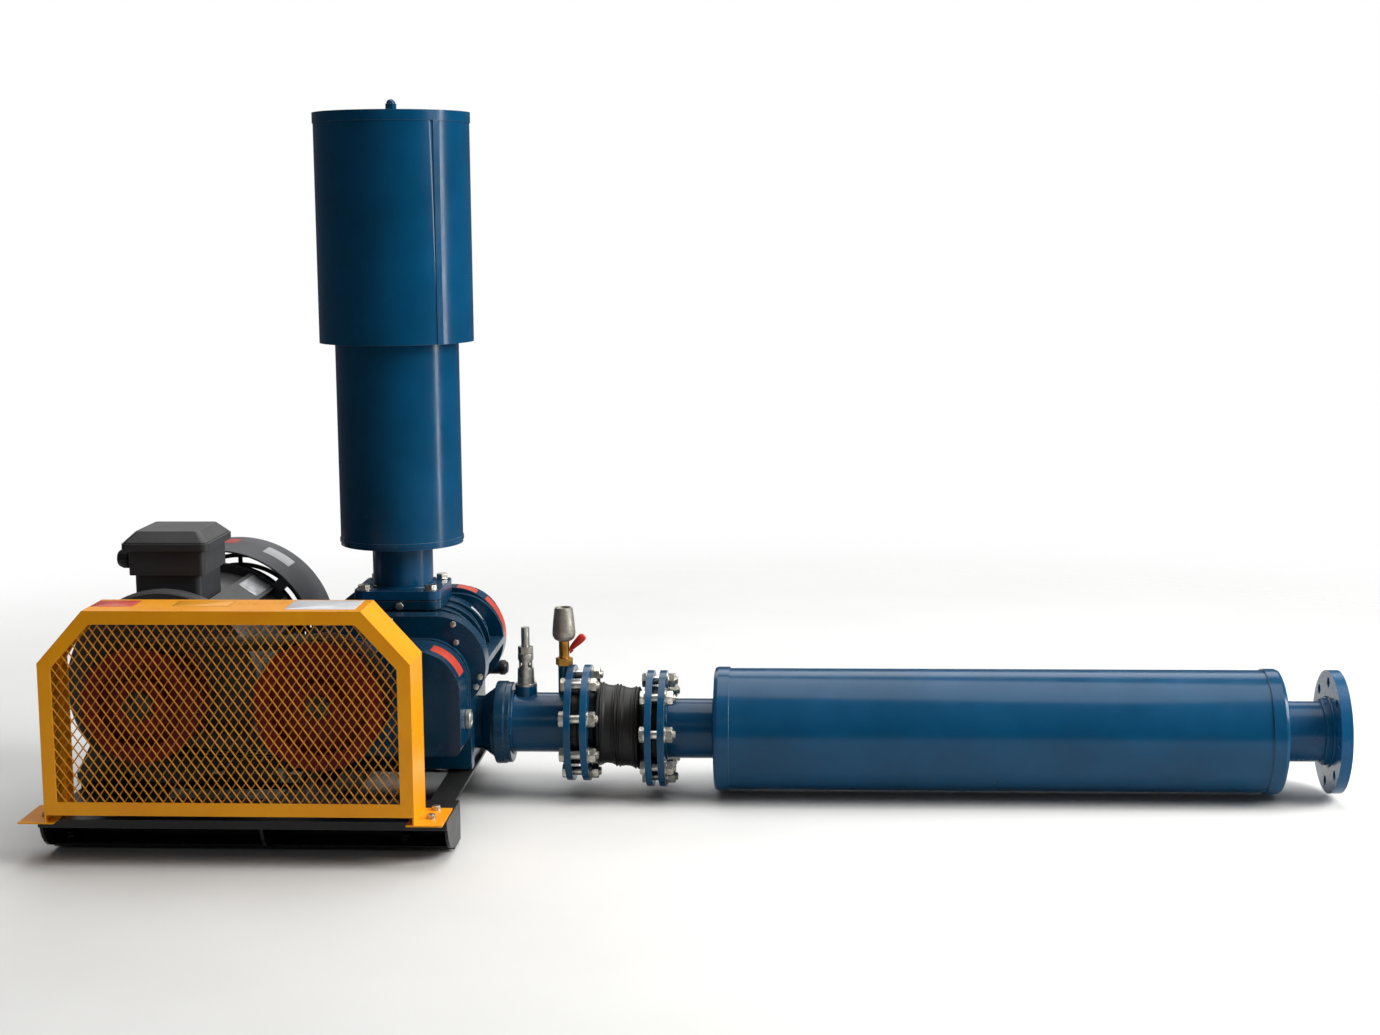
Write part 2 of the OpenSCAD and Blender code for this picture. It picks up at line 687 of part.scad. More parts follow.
module terminal_lid() color(motor_grey) translate([tbox_x, tbox_y, tbox_z0 + tbox_body_h]) {
  linear_extrude(lid_rim_h) round_rect(tbox_w + 20, tbox_d + 18, 12);
  translate([0, 0, lid_rim_h - eps]) hull() {
    linear_extrude(2) round_rect(tbox_w + 14, tbox_d + 12, 10, $fn = 24);
    translate([0, 0, lid_slope_h - 1]) linear_extrude(1) round_rect(tbox_w - 22, tbox_d - 24, 6, $fn = 24);
  }
}

module cable_gland() color(skid_black)
  translate([tbox_x - tbox_w / 2, tbox_y - tbox_d / 2 + 42, tbox_z0 + tbox_body_h - 20]) {
    difference() {
      union() {
        x_rod(10.8, -8, 6);
        rotate([0, -90, 0]) hex_block(28, 9);
        translate([-9, 0, 0]) rotate([0, -90, 0]) cylinder(r = 17, h = 15);
        translate([-24, 0, 0]) rotate([0, -90, 0]) cylinder(r1 = 17, r2 = 13, h = 5);
      }
      x_rod(7, -40, 10);
    }
  }

module motor_rotor() color(bare_steel) at_motor() {
  core_gap_r = core_r;
  y_rod(motor_shaft_d / 2, shoulder_y - 110, shoulder_y + 2);
  y_rod(motor_bearing_r0 - shaft_gap, shoulder_y + 1, shoulder_y + 10 + motor_bearing_w);
  y_rod(motor_bearing_r0 + 5, shoulder_y + 10 + motor_bearing_w, rear_bearing_y - 0.5);
  y_rod(motor_bearing_r0 - shaft_gap, rear_bearing_y - 1, barrel_y1 + rear_shield_t + 12);
  y_rod(motor_shaft_d / 2 - 4, barrel_y1 + rear_shield_t + 11, fan_y1 + 6);
  y_rod(core_gap_r, core_y0, core_y1);
}

fan_w = 52;
fan_y0 = barrel_y1 + rear_shield_t + 26;
fan_y1 = fan_y0 + fan_w;

module motor_fan() color(skid_black) at_motor() {
  difference() {
    union() {
      y_rod(motor_shaft_d / 2 + 14, fan_y0, fan_y1);
      y_rod(cowl_r - 34, fan_y0, fan_y0 + 5);
      for (a = [0:45:315]) rotate([0, a, 0])
        translate([motor_shaft_d / 2 + 8, fan_y0 + 2, -2]) cube([cowl_r - 52 - motor_shaft_d / 2, fan_y1 - fan_y0 - 4, 4]);
    }
    y_rod(motor_shaft_d / 2 - 4, fan_y0 - 1, fan_y1 + 1);
  }
}

// Belt drive: grooved pulleys and closed belts with a trapezoid section.
pulley_w = (belt_n - 1) * belt_pitch + 2 * pulley_edge;
pulley_y0 = shoulder_y - 110 + 4;
pulley_y1 = pulley_y0 + pulley_w;
belt_inner_w = belt_w - 2 * belt_h * tan(18);
belt_ys = [for (i = [0:belt_n - 1]) pulley_y0 + pulley_edge + i * belt_pitch];
belt_sink = 1;
// The arc on the small pulley lies a hair deeper, so that the straight runs bite into it.
belt_step = 0.05;

// Pulley round the Y axis with one V groove for each belt.
module grooved_pulley(d, bore_d) {
  r = d / 2;
  top = belt_w / 2 + (belt_sink + 1) * tan(18) + belt_clear / cos(18);
  low = belt_inner_w / 2 - 2 * tan(18) + belt_clear / cos(18);
  deep = belt_sink + belt_h + 2;
  difference() {
    y_rod(r, pulley_y0, pulley_y1, $fn = 96);
    for (y = belt_ys) translate([0, y, 0]) turned_y([
      [r + 1, -top], [r + 1, top], [r - deep, low], [r - deep, -low]]);
    for (side = [0, 1]) translate([0, side == 0 ? pulley_y0 - 1 : pulley_y1 - 18, 0]) turned_y([
      [bore_d / 2 + 20, 0], [r - deep - 12, 0], [r - deep - 12, 19], [bore_d / 2 + 20, 19]]);
    y_rod(bore_d / 2, pulley_y0 - 1, pulley_y1 + 1);
  }
}

module motor_pulley() color(pulley_red) at_motor() grooved_pulley(motor_pulley_d, motor_shaft_d);

module blower_pulley() color(pulley_red) translate([drive_x, 0, blower_z])
  grooved_pulley(blower_pulley_d, drive_shaft_d);

// Section of a belt whose back runs at radius r.
module belt_section(r) {
  polygon([[r - belt_h, -belt_inner_w / 2], [r, -belt_w / 2], [r, belt_w / 2], [r - belt_h, belt_inner_w / 2]]);
}

// One closed belt in the XY plane, round pulleys of back radius ra and rb a distance apart.
module belt_loop(ra, rb, dist) {
  lean = acos((ra - rb) / dist);
  run = sqrt(dist * dist - (rb - ra) * (rb - ra));
  rotate([0, 0, lean]) rotate_extrude(angle = 360 - 2 * lean, $fn = 96) belt_section(ra);
  translate([dist, 0, 0]) rotate([0, 0, -lean]) rotate_extrude(angle = 2 * lean, $fn = 96)
    belt_section(rb - belt_step);
  for (side = [0, 1]) mirror([0, side, 0]) rotate([0, 0, lean]) rotate([90, 0, 0])
    linear_extrude(run + 0.5) belt_section(ra);
}

module v_belts() color(rubber_black) {
  dx = drive_x - motor_x;
  dz = blower_z - motor_z;
  for (y = belt_ys) translate([motor_x, y, motor_z]) rotate([90, 0, 0]) rotate([0, 0, atan2(dz, dx)])
    belt_loop(motor_pulley_d / 2 - belt_sink, blower_pulley_d / 2 - belt_sink, norm([dx, dz]));
}

// Blower casing: one casting with twin bores, ribs, intake flange and outlet chamber.
pitch_r = rotor_cd / 2;
roll_r = pitch_r / 6;
tip_r = pitch_r + 2 * roll_r - rotor_gap / 2;
bore_r = tip_r + rotor_gap;
casing_r = bore_r + casing_wall;
plate_y0 = line_y - bore_len / 2 - end_plate_t;
case_y0 = line_y - bore_len / 2;
case_y1 = line_y + bore_len / 2;
plate_y1 = case_y1 + end_plate_t;
plate_arc = plate_half_w - plate_half_h;
flange_top_z = skid_top + 295;
box_d = 157;
box_x0 = blower_x - 130;
box_x1 = blower_x + 133;
port_r = pipe_d / 2 - 12;
throat_r = 50;
casing_foot_t = 12;
casing_foot_ear = 24;
casing_foot_places = [for (x = [mid_rail_x0 + mid_rail_w - 15, side_web_x + 22], y = [-1, 1])
  [x, line_y + y * (box_d / 2 + casing_foot_ear / 2)]];

module at_blower() {
  translate([blower_x, 0, blower_z]) children();
}

module twin(x) {
  for (side = [-1, 1]) translate([side * x, 0, 0]) children();
}

module rotor_casing() color(machine_blue) difference() {
  union() {
    at_blower() {
      along_y(case_y0, case_y1) stadium(pitch_r, casing_r);
      for (y = [case_y0, case_y1 - 14]) along_y(y, y + 14) stadium(plate_arc, plate_half_h);
      for (y = [line_y - 52, line_y - 14, line_y + 36]) along_y(y, y + 9) stadium(plate_arc - 16, plate_half_h - 1);
      along_y(case_y0, case_y1) for (side = [-1, 1])
        translate([side * (plate_half_w - 14) - 14, -6]) square([28, 12]);
    }
    translate([blower_x, line_y, blower_z + 40])
      linear_extrude(flange_top_z - 15 - blower_z - 40 + eps) round_rect(134, 134, 22);
    translate([blower_x, line_y, flange_top_z - 15])
      linear_extrude(15) round_rect(intake_flange_w, intake_flange_w, 20);
    translate([box_x0, line_y - box_d / 2, skid_top])
      cube([box_x1 - box_x0, box_d, blower_z - skid_top - 30]);
    translate([mid_rail_x0 + mid_rail_w - 34, line_y - box_d / 2 - casing_foot_ear, skid_top])
      cube([box_x1 - mid_rail_x0 - mid_rail_w + 34, box_d + 2 * casing_foot_ear, casing_foot_t]);
  }
  at_blower() twin(pitch_r) y_rod(bore_r, case_y0 - 1, case_y1 + 1, $fn = 96);
  translate([blower_x, line_y, blower_z]) cylinder(r = throat_r, h = flange_top_z - blower_z + 1);
  translate([blower_x - 50, line_y - 46, line_z - port_r])
    cube([100, 92, blower_z - line_z + port_r]);
  translate([0, line_y, line_z]) x_rod(port_r, blower_x, box_x1 + 1);
  for (sx = [-1, 1], sy = [-1, 1])
    translate([blower_x + sx * intake_bolt_a / 2, line_y + sy * intake_bolt_a / 2, flange_top_z - 20])
      cylinder(d = 12.4, h = 21);
  for (p = casing_foot_places) translate([p[0], p[1], skid_top - 1]) cylinder(d = 12.4, h = casing_foot_t + 2);
}

// Outline of the front end plate: an arch over the rotors with a straight skirt below.
module front_plate_outline() {
  stadium(plate_arc, plate_half_h);
  translate([-cover_half_w, skid_top + 4 - blower_z]) square([2 * cover_half_w, blower_z - skid_top - 4]);
}

module bearing_bores(y0, y1) {
  twin(pitch_r) y_rod(bearing_od / 2 + 0.02, y0, y1, $fn = 72);
}

module shaft_bores(r, y0, y1) {
  twin(pitch_r) y_rod(r, y0, y1, $fn = 72);
}

// Bolts through the plate sit on a line round the bores.
plate_bolt_angles = [-29, -15, 67];
plate_bolt_af = 10;

// Places of the plate bolts round a stadium of half width w and half height h.
function plate_bolts(w, h) = concat([[0, h - 7.5]], [for (side = [-1, 1], a = plate_bolt_angles)
  [side * (w - h + (h - 7.5) * cos(a)), (h - 7.5) * sin(a)]]);

module front_end_plate() color(machine_blue) at_blower() difference() {
  along_y(plate_y0, case_y0) front_plate_outline();
  bearing_bores(plate_y0 - 1, plate_y0 + bearing_w);
  shaft_bores(bearing_bore / 2 + 4, plate_y0, case_y0 + 1);
}

rear_half_h = plate_half_h + 9;

module rear_end_plate() color(machine_blue) at_blower() difference() {
  along_y(case_y1, plate_y1) stadium(rear_half_w - rear_half_h, rear_half_h);
  bearing_bores(plate_y1 - bearing_w, plate_y1 + 1);
  shaft_bores(bearing_bore / 2 + 4, case_y1 - 1, plate_y1);
}

cover_top = 47;
cover_low = -cover_drop;
cover_flange_t = 12;
cover_flange_y0 = plate_y0 - cover_flange_t;
cover_y0 = cover_flange_y0 - cover_len;
cover_bolts = [for (side = [-1, 1]) [side * 116, cover_top - 6]];
gear_flange_t = 12;
sight_r = 13;
sight_y = plate_y0 - 44;
seal_boss_len = 26;
seal_r = 30;

// Outline of the front cover: round shoulders above, tight corners below.
module cover_outline(grow, low) {
  w = cover_half_w + grow;
  r = cover_corner_r;
  top = cover_top + grow;
  for (side = [-1, 1]) {
    translate([side * (w - r), top - r]) circle(r, $fn = 72);
    translate([side * (w - 16), low + 16]) circle(16);
  }
  translate([-w + r, low]) square([2 * (w - r), top - low]);
  translate([-w, low + 16]) square([2 * w, top - r - low - 16]);
  translate([-w + 16, low]) square([2 * (w - 16), 20]);
}

module front_oil_cover() color(machine_blue) at_blower() difference() {
  union() {
    along_y(cover_y0, plate_y0) cover_outline(-1, cover_low);
    along_y(cover_flange_y0, plate_y0) cover_outline(1.5, skid_top + 8 - blower_z);
    translate([-pitch_r, 0, 0]) y_rod(seal_r + 10, cover_y0 - seal_boss_len, cover_y0 + eps);
  }
  along_y(cover_y0 + cover_wall, plate_y0 + 1) cover_outline(-cover_wall - 1, cover_low + cover_wall);
  translate([-pitch_r, 0, 0]) {
    y_rod(drive_shaft_d / 2 + 4, cover_y0 - seal_boss_len - 1, cover_y0 + cover_wall + 1);
    y_rod(seal_r, cover_y0 - seal_boss_len - 1, cover_y0 - seal_boss_len + 10);
  }
  translate([cover_half_w, sight_y, -sight_drop]) x_rod(sight_r, -20, 4);
  translate([cover_half_w - 24, cover_flange_y0 - 30, cover_low - 1]) cylinder(r = 7, h = cover_wall + 3);
}

gear_case_half = pitch_r + 12;
gear_case_r = rear_half_h - 15.5;
gear_cap_x = gear_case_half + gear_case_r;
gear_cap_y = plate_y1 + 32;
gear_cap_z = -68;

module rear_gear_case() color(machine_blue) at_blower() difference() {
  union() {
    along_y(plate_y1, plate_y1 + gear_flange_t) stadium(rear_half_w - rear_half_h, rear_half_h);
    along_y(plate_y1, plate_y1 + gear_case_len) stadium(gear_case_half, gear_case_r);
    translate([0, gear_cap_y, gear_cap_z]) x_rod(12.8, gear_case_half, gear_cap_x);
  }
  along_y(plate_y1 - 1, plate_y1 + gear_case_len - cover_wall)
    stadium(gear_case_half, gear_case_r - cover_wall);
  translate([0, gear_cap_y, gear_cap_z]) x_rod(9, gear_case_half, gear_cap_x + 1);
  translate([0, plate_y1 + gear_case_len, gear_cap_z + 22]) y_rod(sight_r, -30, 1);
}

module blower_bearings() color(bare_steel) at_blower() twin(pitch_r) {
  ball_bearing(bearing_bore / 2, bearing_od / 2, bearing_w, plate_y0);
  ball_bearing(bearing_bore / 2, bearing_od / 2, bearing_w, plate_y1 - bearing_w);
}

// Lip seals at the drive shaft and behind each rotor bearing.
module shaft_seals() color(rubber_black) at_blower() {
  translate([-pitch_r, 0, 0]) difference() {
    y_rod(seal_r, cover_y0 - seal_boss_len, cover_y0 - seal_boss_len + 10);
    y_rod(drive_shaft_d / 2 + shaft_gap, cover_y0 - seal_boss_len - 1, cover_y0 - seal_boss_len + 11);
  }
}

// Bolts of the end plates, the front cover's flange and the casing's feet.
module casing_bolts() color(zinc) {
  at_blower() {
    for (p = plate_bolts(plate_half_w, plate_half_h))
      translate([p[0], plate_y0, p[1]]) rotate([90, 0, 0]) hex_block(plate_bolt_af, 6);
    for (p = plate_bolts(rear_half_w, rear_half_h), low = [1, -1])
      translate([p[0], plate_y1 + gear_flange_t, low * p[1]]) rotate([-90, 0, 0]) hex_block(13, 7);
    for (p = cover_bolts)
      translate([p[0], plate_y0, p[1]]) rotate([90, 0, 0]) hex_block(plate_bolt_af, 5);
  }
  translate([blower_x + 7, line_y - intake_flange_w / 2, flange_top_z - 8])
    rotate([90, 0, 0]) hex_block(13, 6);
  for (p = casing_foot_places) translate([p[0], p[1], skid_top + casing_foot_t])
    screw_down(12, 19, casing_foot_t + plate_t - 1);
}

// Round sight glass, its glass facing +X and its spigot in a hole.
module sight_glass() {
  x_rod(sight_r - fit_gap, -7, 3);
  difference() {
    x_rod(sight_r + 4, eps, 9);
    x_rod(sight_r - 2, 6, 10);
  }
}

module oil_sight_glasses() color(bare_steel) {
  translate([blower_x + cover_half_w - 1, sight_y, blower_z - sight_drop]) sight_glass();
  translate([blower_x, plate_y1 + gear_case_len, blower_z + gear_cap_z + 22]) rotate([0, 0, 90]) sight_glass();
}

module oil_plugs() color(brass) {
  translate([blower_x + cover_half_w - 24, cover_flange_y0 - 30, blower_z + cover_low]) {
    translate([0, 0, -8]) hex_block(17, 8);
    translate([0, 0, -eps]) cylinder(r = 7 - fit_gap, h = cover_wall);
  }
  translate([blower_x, gear_cap_y, blower_z + gear_cap_z]) {
    x_rod(9 - fit_gap, gear_cap_x - 12, gear_cap_x + 2);
    x_rod(14, gear_cap_x, gear_cap_x + 12);
    x_rod(11, gear_cap_x + 12 - eps, gear_cap_x + 16);
  }
}

// Rotors: three-lobe cycloid profile. Lobes are epicycloids and valleys hypocycloids of the
// same rolling circle, so the pair rolls on its pitch circles. The profile is drawn in along
// its own normal by half the rotor gap.
function ray(a) = [cos(a), sin(a)];
lobe_step = 6;
lobe_points = [for (k = [0:2], part = [0, 1], a = [0:lobe_step:60 - lobe_step])
  let (base = k * 120 - 30 + part * 60, c = rotor_gap / 2,
       p = part == 0
         ? 7 * roll_r * ray(a) - roll_r * ray(7 * a) + c * ray(4 * a + 90)
         : 5 * roll_r * ray(a) + roll_r * ray(-5 * a) - c * ray(90 - 2 * a))
  [p[0] * cos(base) - p[1] * sin(base), p[0] * sin(base) + p[1] * cos(base)]];

journal_r = bearing_bore / 2 - shaft_gap;
drive_shaft_d = bearing_bore - 2;
lobe_y0 = case_y0 + end_gap;
lobe_y1 = case_y1 - end_gap;
gear_y0 = plate_y1 + 10;
gear_y1 = gear_y0 + gear_w;

module rotor(front_y) {
  along_y(lobe_y0, lobe_y1) polygon(lobe_points);
  y_rod(bearing_bore / 2 + 3, plate_y0 + bearing_w + 0.4, lobe_y0 + 1);
  y_rod(bearing_bore / 2 + 3, lobe_y1 - 1, plate_y1 - bearing_w - 0.4);
  y_rod(journal_r, front_y, plate_y0 + bearing_w + 1);
  y_rod(journal_r, plate_y1 - bearing_w - 1, gear_y0);
  y_rod(journal_r - 4, gear_y0 - 1, gear_y1 + 8);
  y_rod(journal_r + 4, gear_y1, gear_y1 + 6);
}

module drive_rotor() color(bare_steel) translate([drive_x, 0, blower_z]) {
  rotor(plate_y0 - 6);
  y_rod(drive_shaft_d / 2, pulley_y0 - 4, plate_y0 - 5);
}

module driven_rotor() color(bare_steel) translate([driven_x, 0, blower_z]) rotor(plate_y0 - 6);

// Timing gear tooth flanks are involutes of the base circle.
gear_module = rotor_cd / gear_teeth;
gear_r = rotor_cd / 2;
gear_base_r = gear_r * cos(20);
gear_tip_r = gear_r + gear_module;
gear_root_r = gear_r - 1.25 * gear_module;
function involute_angle(r) = let (t = sqrt(max(0, pow(r / gear_base_r, 2) - 1))) t * 180 / PI - atan(t);
gear_half_tooth = 90 / gear_teeth - backlash / 2 / gear_r * 90 / PI;
gear_flank = [for (i = [0:4]) gear_root_r + (gear_tip_r - gear_root_r) * i / 4];

// Half angle of a tooth at radius r, widest at the root.
function tooth_half(r) = gear_half_tooth + involute_angle(gear_r) - involute_angle(max(r, gear_base_r));

module timing_gear(turn) {
  difference() {
    along_y(gear_y0, gear_y1) rotate(turn) polygon([
      for (k = [0:gear_teeth - 1], side = [-1, 1], i = [0:4])
        let (r = gear_flank[side < 0 ? i : 4 - i]) r * ray(k * 360 / gear_teeth + side * tooth_half(r))]);
    y_rod(journal_r - 4, gear_y0 - 1, gear_y1 + 1);
    for (a = [0:60:300]) rotate([0, a, 0]) translate([gear_r * 0.6, 0, 0]) y_rod(6.5, gear_y0 - 1, gear_y1 + 1);
  }
}

module drive_gear() color(bare_steel) translate([drive_x, 0, blower_z]) timing_gear(0);

module driven_gear() color(bare_steel) translate([driven_x, 0, blower_z]) timing_gear(180 / gear_teeth);

// Intake side: drum on a square flange, hood hung over it from a lid and a centre rod.
gasket_z = flange_top_z;
intake_gasket_t = 2;
intake_z0 = flange_top_z + intake_gasket_t;
drum_z0 = intake_z0 + intake_flange_t + neck_h;
hood_z0 = drum_z0 + drum_show_h;
drum_z1 = hood_z0 + drum_in_h;
hood_z1 = hood_z0 + hood_h;
rod_r = 6;
seam_w = 12;

module at_intake() {
  translate([blower_x, line_y, 0]) children();
}

module tube(r, t, z0, z1) {
  translate([0, 0, z0]) difference() {
    cylinder(r = r, h = z1 - z0, $fn = 96);
    translate([0, 0, -1]) cylinder(r = r - t, h = z1 - z0 + 2, $fn = 96);
  }
}

module flange_gaskets() color(rubber_black) {
  at_intake() translate([0, 0, gasket_z]) difference() {
    linear_extrude(intake_gasket_t) round_rect(intake_flange_w - 2, intake_flange_w - 2, 20);
    translate([0, 0, -1]) cylinder(r = throat_r, h = intake_gasket_t + 2);
    for (sx = [-1, 1], sy = [-1, 1])
      translate([sx * intake_bolt_a / 2, sy * intake_bolt_a / 2, -1]) cylinder(d = 13, h = intake_gasket_t + 2);
  }
  at_silencer() turned_x([
    [pipe_bore_r, joint_c_x1 + bead_t], [bead_r, joint_c_x1 + bead_t],
    [bead_r, joint_d_x0], [pipe_bore_r, joint_d_x0]]);
}

module intake_drum() color(machine_blue) at_intake() {
  difference() {
    union() {
      translate([0, 0, intake_z0]) linear_extrude(intake_flange_t)
        round_rect(intake_flange_w, intake_flange_w, 20);
      translate([0, 0, intake_z0]) cylinder(d = pipe_d, h = intake_flange_t + neck_h + 30);
      translate([0, 0, drum_z0]) cylinder(d = drum_d, h = sheet_t, $fn = 96);
      tube(drum_d / 2, sheet_t, drum_z0, drum_z1);
      tube(drum_d / 2 + 1.5, 2.5, drum_z0 + 6, drum_z0 + 12);
    }
    translate([0, 0, intake_z0 - 1]) cylinder(r = throat_r, h = intake_flange_t + neck_h + 40);
    for (sx = [-1, 1], sy = [-1, 1])
      translate([sx * intake_bolt_a / 2, sy * intake_bolt_a / 2, intake_z0 - 1])
        cylinder(d = 13, h = intake_flange_t + 2);
  }
  difference() {
    union() {
      for (a = [0:60:300]) rotate(a) translate([0, -3, drum_z1 - 24]) cube([drum_d / 2 - sheet_t + 1, 6, 24]);
      translate([0, 0, drum_z1 - 24]) cylinder(r = 16, h = 24);
    }
    translate([0, 0, drum_z1 - 25]) cylinder(r = rod_r + fit_gap, h = 26);
  }
}

module intake_hood() color(machine_blue) at_intake() {
  difference() {
    union() {
      tube(hood_d / 2, sheet_t, hood_z0, hood_z1);
      rotate(-46) translate([hood_d / 2 - 1, -seam_w / 2, hood_z0]) cube([2.5, seam_w, hood_z1 - hood_z0]);
    }
    translate([0, 0, hood_z0 - 1]) cylinder(r = hood_d / 2 - sheet_t, h = hood_h + 2, $fn = 96);
  }
  for (a = [45:90:315]) rotate(a) translate([drum_d / 2 + 0.3, -2.5, drum_z1 - spacer_h - 20])
    cube([(hood_d - drum_d) / 2 - sheet_t + 0.2, 5, spacer_h]);
}

module intake_lid() color(machine_blue) at_intake() difference() {
  union() {
    translate([0, 0, hood_z1]) cylinder(r = hood_d / 2 + 1.5, h = lid_h, $fn = 96);
  }
  translate([0, 0, hood_z1 - 1]) cylinder(r = hood_d / 2 - sheet_t - 2, h = lid_h - sheet_t + 1, $fn = 96);
  translate([0, 0, hood_z1]) cylinder(r = rod_r + 0.5, h = lid_h + 2);
}

filter_z0 = drum_z1;
filter_z1 = hood_z1 + lid_h - sheet_t;

// Pleated paper ring between two flat end rings.
module intake_filter() color("#d9cfa8") at_intake() {
  pleat_n = 36;
  translate([0, 0, filter_z0 + 6]) linear_extrude(filter_z1 - filter_z0 - 12) difference() {
    polygon([for (i = [0:2 * pleat_n - 1]) (filter_d / 2 - (i % 2 == 0 ? 2 : 14)) * ray(i * 180 / pleat_n)]);
    circle(filter_d / 2 - 24);
  }
  for (z = [filter_z0, filter_z1 - 6]) tube(filter_d / 2, 34, z, z + 6);
}

module intake_tie_rod() color(zinc) at_intake() {
  translate([0, 0, drum_z1 - 40]) cylinder(r = rod_r, h = hood_z1 + lid_h + 6 - drum_z1 + 40);
  translate([0, 0, drum_z1 - 34]) hex_block(19, 10);
  translate([0, 0, hood_z1 + lid_h]) cylinder(r = 12, h = 2.5);
  translate([0, 0, hood_z1 + lid_h + 2]) hex_block(17, 14);
  translate([0, 0, hood_z1 + lid_h + 16]) sphere(8, $fn = 32);
}

module intake_flange_bolts() color(zinc) at_intake()
  for (sx = [-1, 1], sy = [-1, 1])
    translate([sx * intake_bolt_a / 2, sy * intake_bolt_a / 2, intake_z0 + intake_flange_t]) {
      cylinder(r = 13, h = 2.5);
      translate([0, 0, 2.5]) screw_down(12, 19, intake_flange_t + 15);
    }

// Discharge line along X from the casing's outlet.
pipe_r = pipe_d / 2;
pipe_bore_r = pipe_r - pipe_wall;
spool_x1 = box_x1 + 34;
union_x1 = spool_x1 + 30;
joint_a_x0 = union_x1 + outlet_pipe_len + 12.5;
joint_a_x1 = joint_a_x0 + joint_flange_t;
joint_b_x0 = joint_a_x1 + check_t + bead_t;
joint_b_x1 = joint_b_x0 + joint_flange_t;
joint_c_x0 = joint_b_x1 + rubber_len;
joint_c_x1 = joint_c_x0 + joint_flange_t;
joint_d_x0 = joint_c_x1 + bead_t + gasket_t;
joint_d_x1 = joint_d_x0 + joint_flange_t;
bead_r = joint_pcd / 2 - bolt_hole_d / 2 - 3;
rubber_r = 72.5;
rubber_neck_r = 64;
joint_turns = [28, -6];

module at_line() {
  translate([0, line_y, line_z]) children();
}

// The silencer hangs a little lower than the pipe, and the rubber joint bridges the step.
module at_silencer() {
  translate([0, line_y, line_z - line_drop]) children();
}

// Flat flange across the line with a ring of bolt holes, the first one at the top plus turn.
module line_flange(x0, t, d, bore, pcd, n, turn) {
  difference() {
    x_rod(d / 2, x0, x0 + t, $fn = 96);
    x_rod(bore, x0 - 1, x0 + t + 1);
    for (i = [0:n - 1]) rotate([turn + i * 360 / n, 0, 0]) translate([0, 0, pcd / 2])
      x_rod(bolt_hole_d / 2, x0 - 1, x0 + t + 1);
  }
}

module outlet_spool() color(machine_blue) at_line() turned_x([
  [port_r, box_x1], [port_r + 6, box_x1], [port_r + 6, box_x1 + 9],
  [pipe_r + 8, spool_x1 - 6], [pipe_r + 8, spool_x1], [pipe_bore_r, spool_x1], [port_r, box_x1 + 12]]);

module outlet_union() color(machine_blue) at_line() turned_x([
  [pipe_bore_r, spool_x1], [pipe_r + 20, spool_x1], [pipe_r + 21, spool_x1 + 2],
  [pipe_r + 21, spool_x1 + 18], [pipe_r + 19, spool_x1 + 20], [pipe_r + 19, spool_x1 + 28],
  [pipe_r + 17, union_x1], [pipe_bore_r, union_x1]]);

relief_x = union_x1 + relief_offset;
relief_socket_h = 15;
relief_seat_z = line_z + pipe_r + relief_socket_h;
vent_x = joint_a_x0 - vent_offset;
vent_nipple_r = 11.5;
vent_z0 = line_z + joint_flange_d / 2 + 2;

module outlet_pipe() color(machine_blue) difference() {
  union() {
    at_line() {
      x_rod(pipe_r, union_x1, joint_a_x1, $fn = 96);
      line_flange(joint_a_x0, joint_flange_t, joint_flange_d, pipe_r - 1, joint_pcd, joint_bolt_n, joint_turns[0]);
    }
    translate([relief_x, line_y, line_z]) cylinder(r = 20, h = pipe_r + relief_socket_h);
    translate([vent_x, line_y, line_z]) cylinder(r = vent_nipple_r, h = vent_z0 - line_z);
  }
  at_line() x_rod(pipe_bore_r, union_x1 - 1, joint_a_x1 + 1, $fn = 96);
  translate([relief_x, line_y, line_z]) cylinder(r = 10, h = pipe_r + relief_socket_h + 1);
  translate([vent_x, line_y, line_z]) cylinder(r = 5, h = vent_z0 - line_z + 1);
}

// Check valve: a thin ring clamped in the joint and a flap hinged under its top edge.
flap_r = pipe_bore_r - 5;
flap_t = 4;
flap_pin_z = line_z + pipe_bore_r - 3;
flap_x = joint_a_x1 + check_t - flap_t - 0.4;
flap_pin_x = flap_x + flap_t / 2;

module check_valve_ring() color(bare_steel) difference() {
  union() {
    at_line() turned_x([
      [flap_r - 3, joint_a_x1], [bead_r, joint_a_x1], [bead_r, joint_a_x1 + check_t],
      [pipe_bore_r, joint_a_x1 + check_t], [pipe_bore_r, flap_x - 0.3], [flap_r - 3, flap_x - 0.3]]);
    for (side = [-1, 1]) translate([flap_x - 0.4, line_y + side * 19 - 3, flap_pin_z - 4])
      cube([check_t - (flap_x - 0.4 - joint_a_x1), 6, 9]);
  }
  translate([flap_pin_x, line_y, flap_pin_z]) y_rod(2 + shaft_gap, -30, 30);
}

module check_valve_flap() color(bare_steel) {
  difference() {
    translate([0, line_y, line_z]) x_rod(flap_r, flap_x, flap_x + flap_t);
    translate([flap_x - 1, line_y - 60, flap_pin_z - 7]) cube([flap_t + 2, 120, 60]);
  }
  translate([flap_x, line_y - 14, flap_pin_z - 12]) cube([flap_t, 28, 12]);
  translate([flap_pin_x, line_y, flap_pin_z]) y_rod(2, -22, 22);
}

// Moulded rubber joint: beads outside the loose flanges and a ribbed body that leans
// between the two axes.
rubber_lean = atan(line_drop / rubber_len);

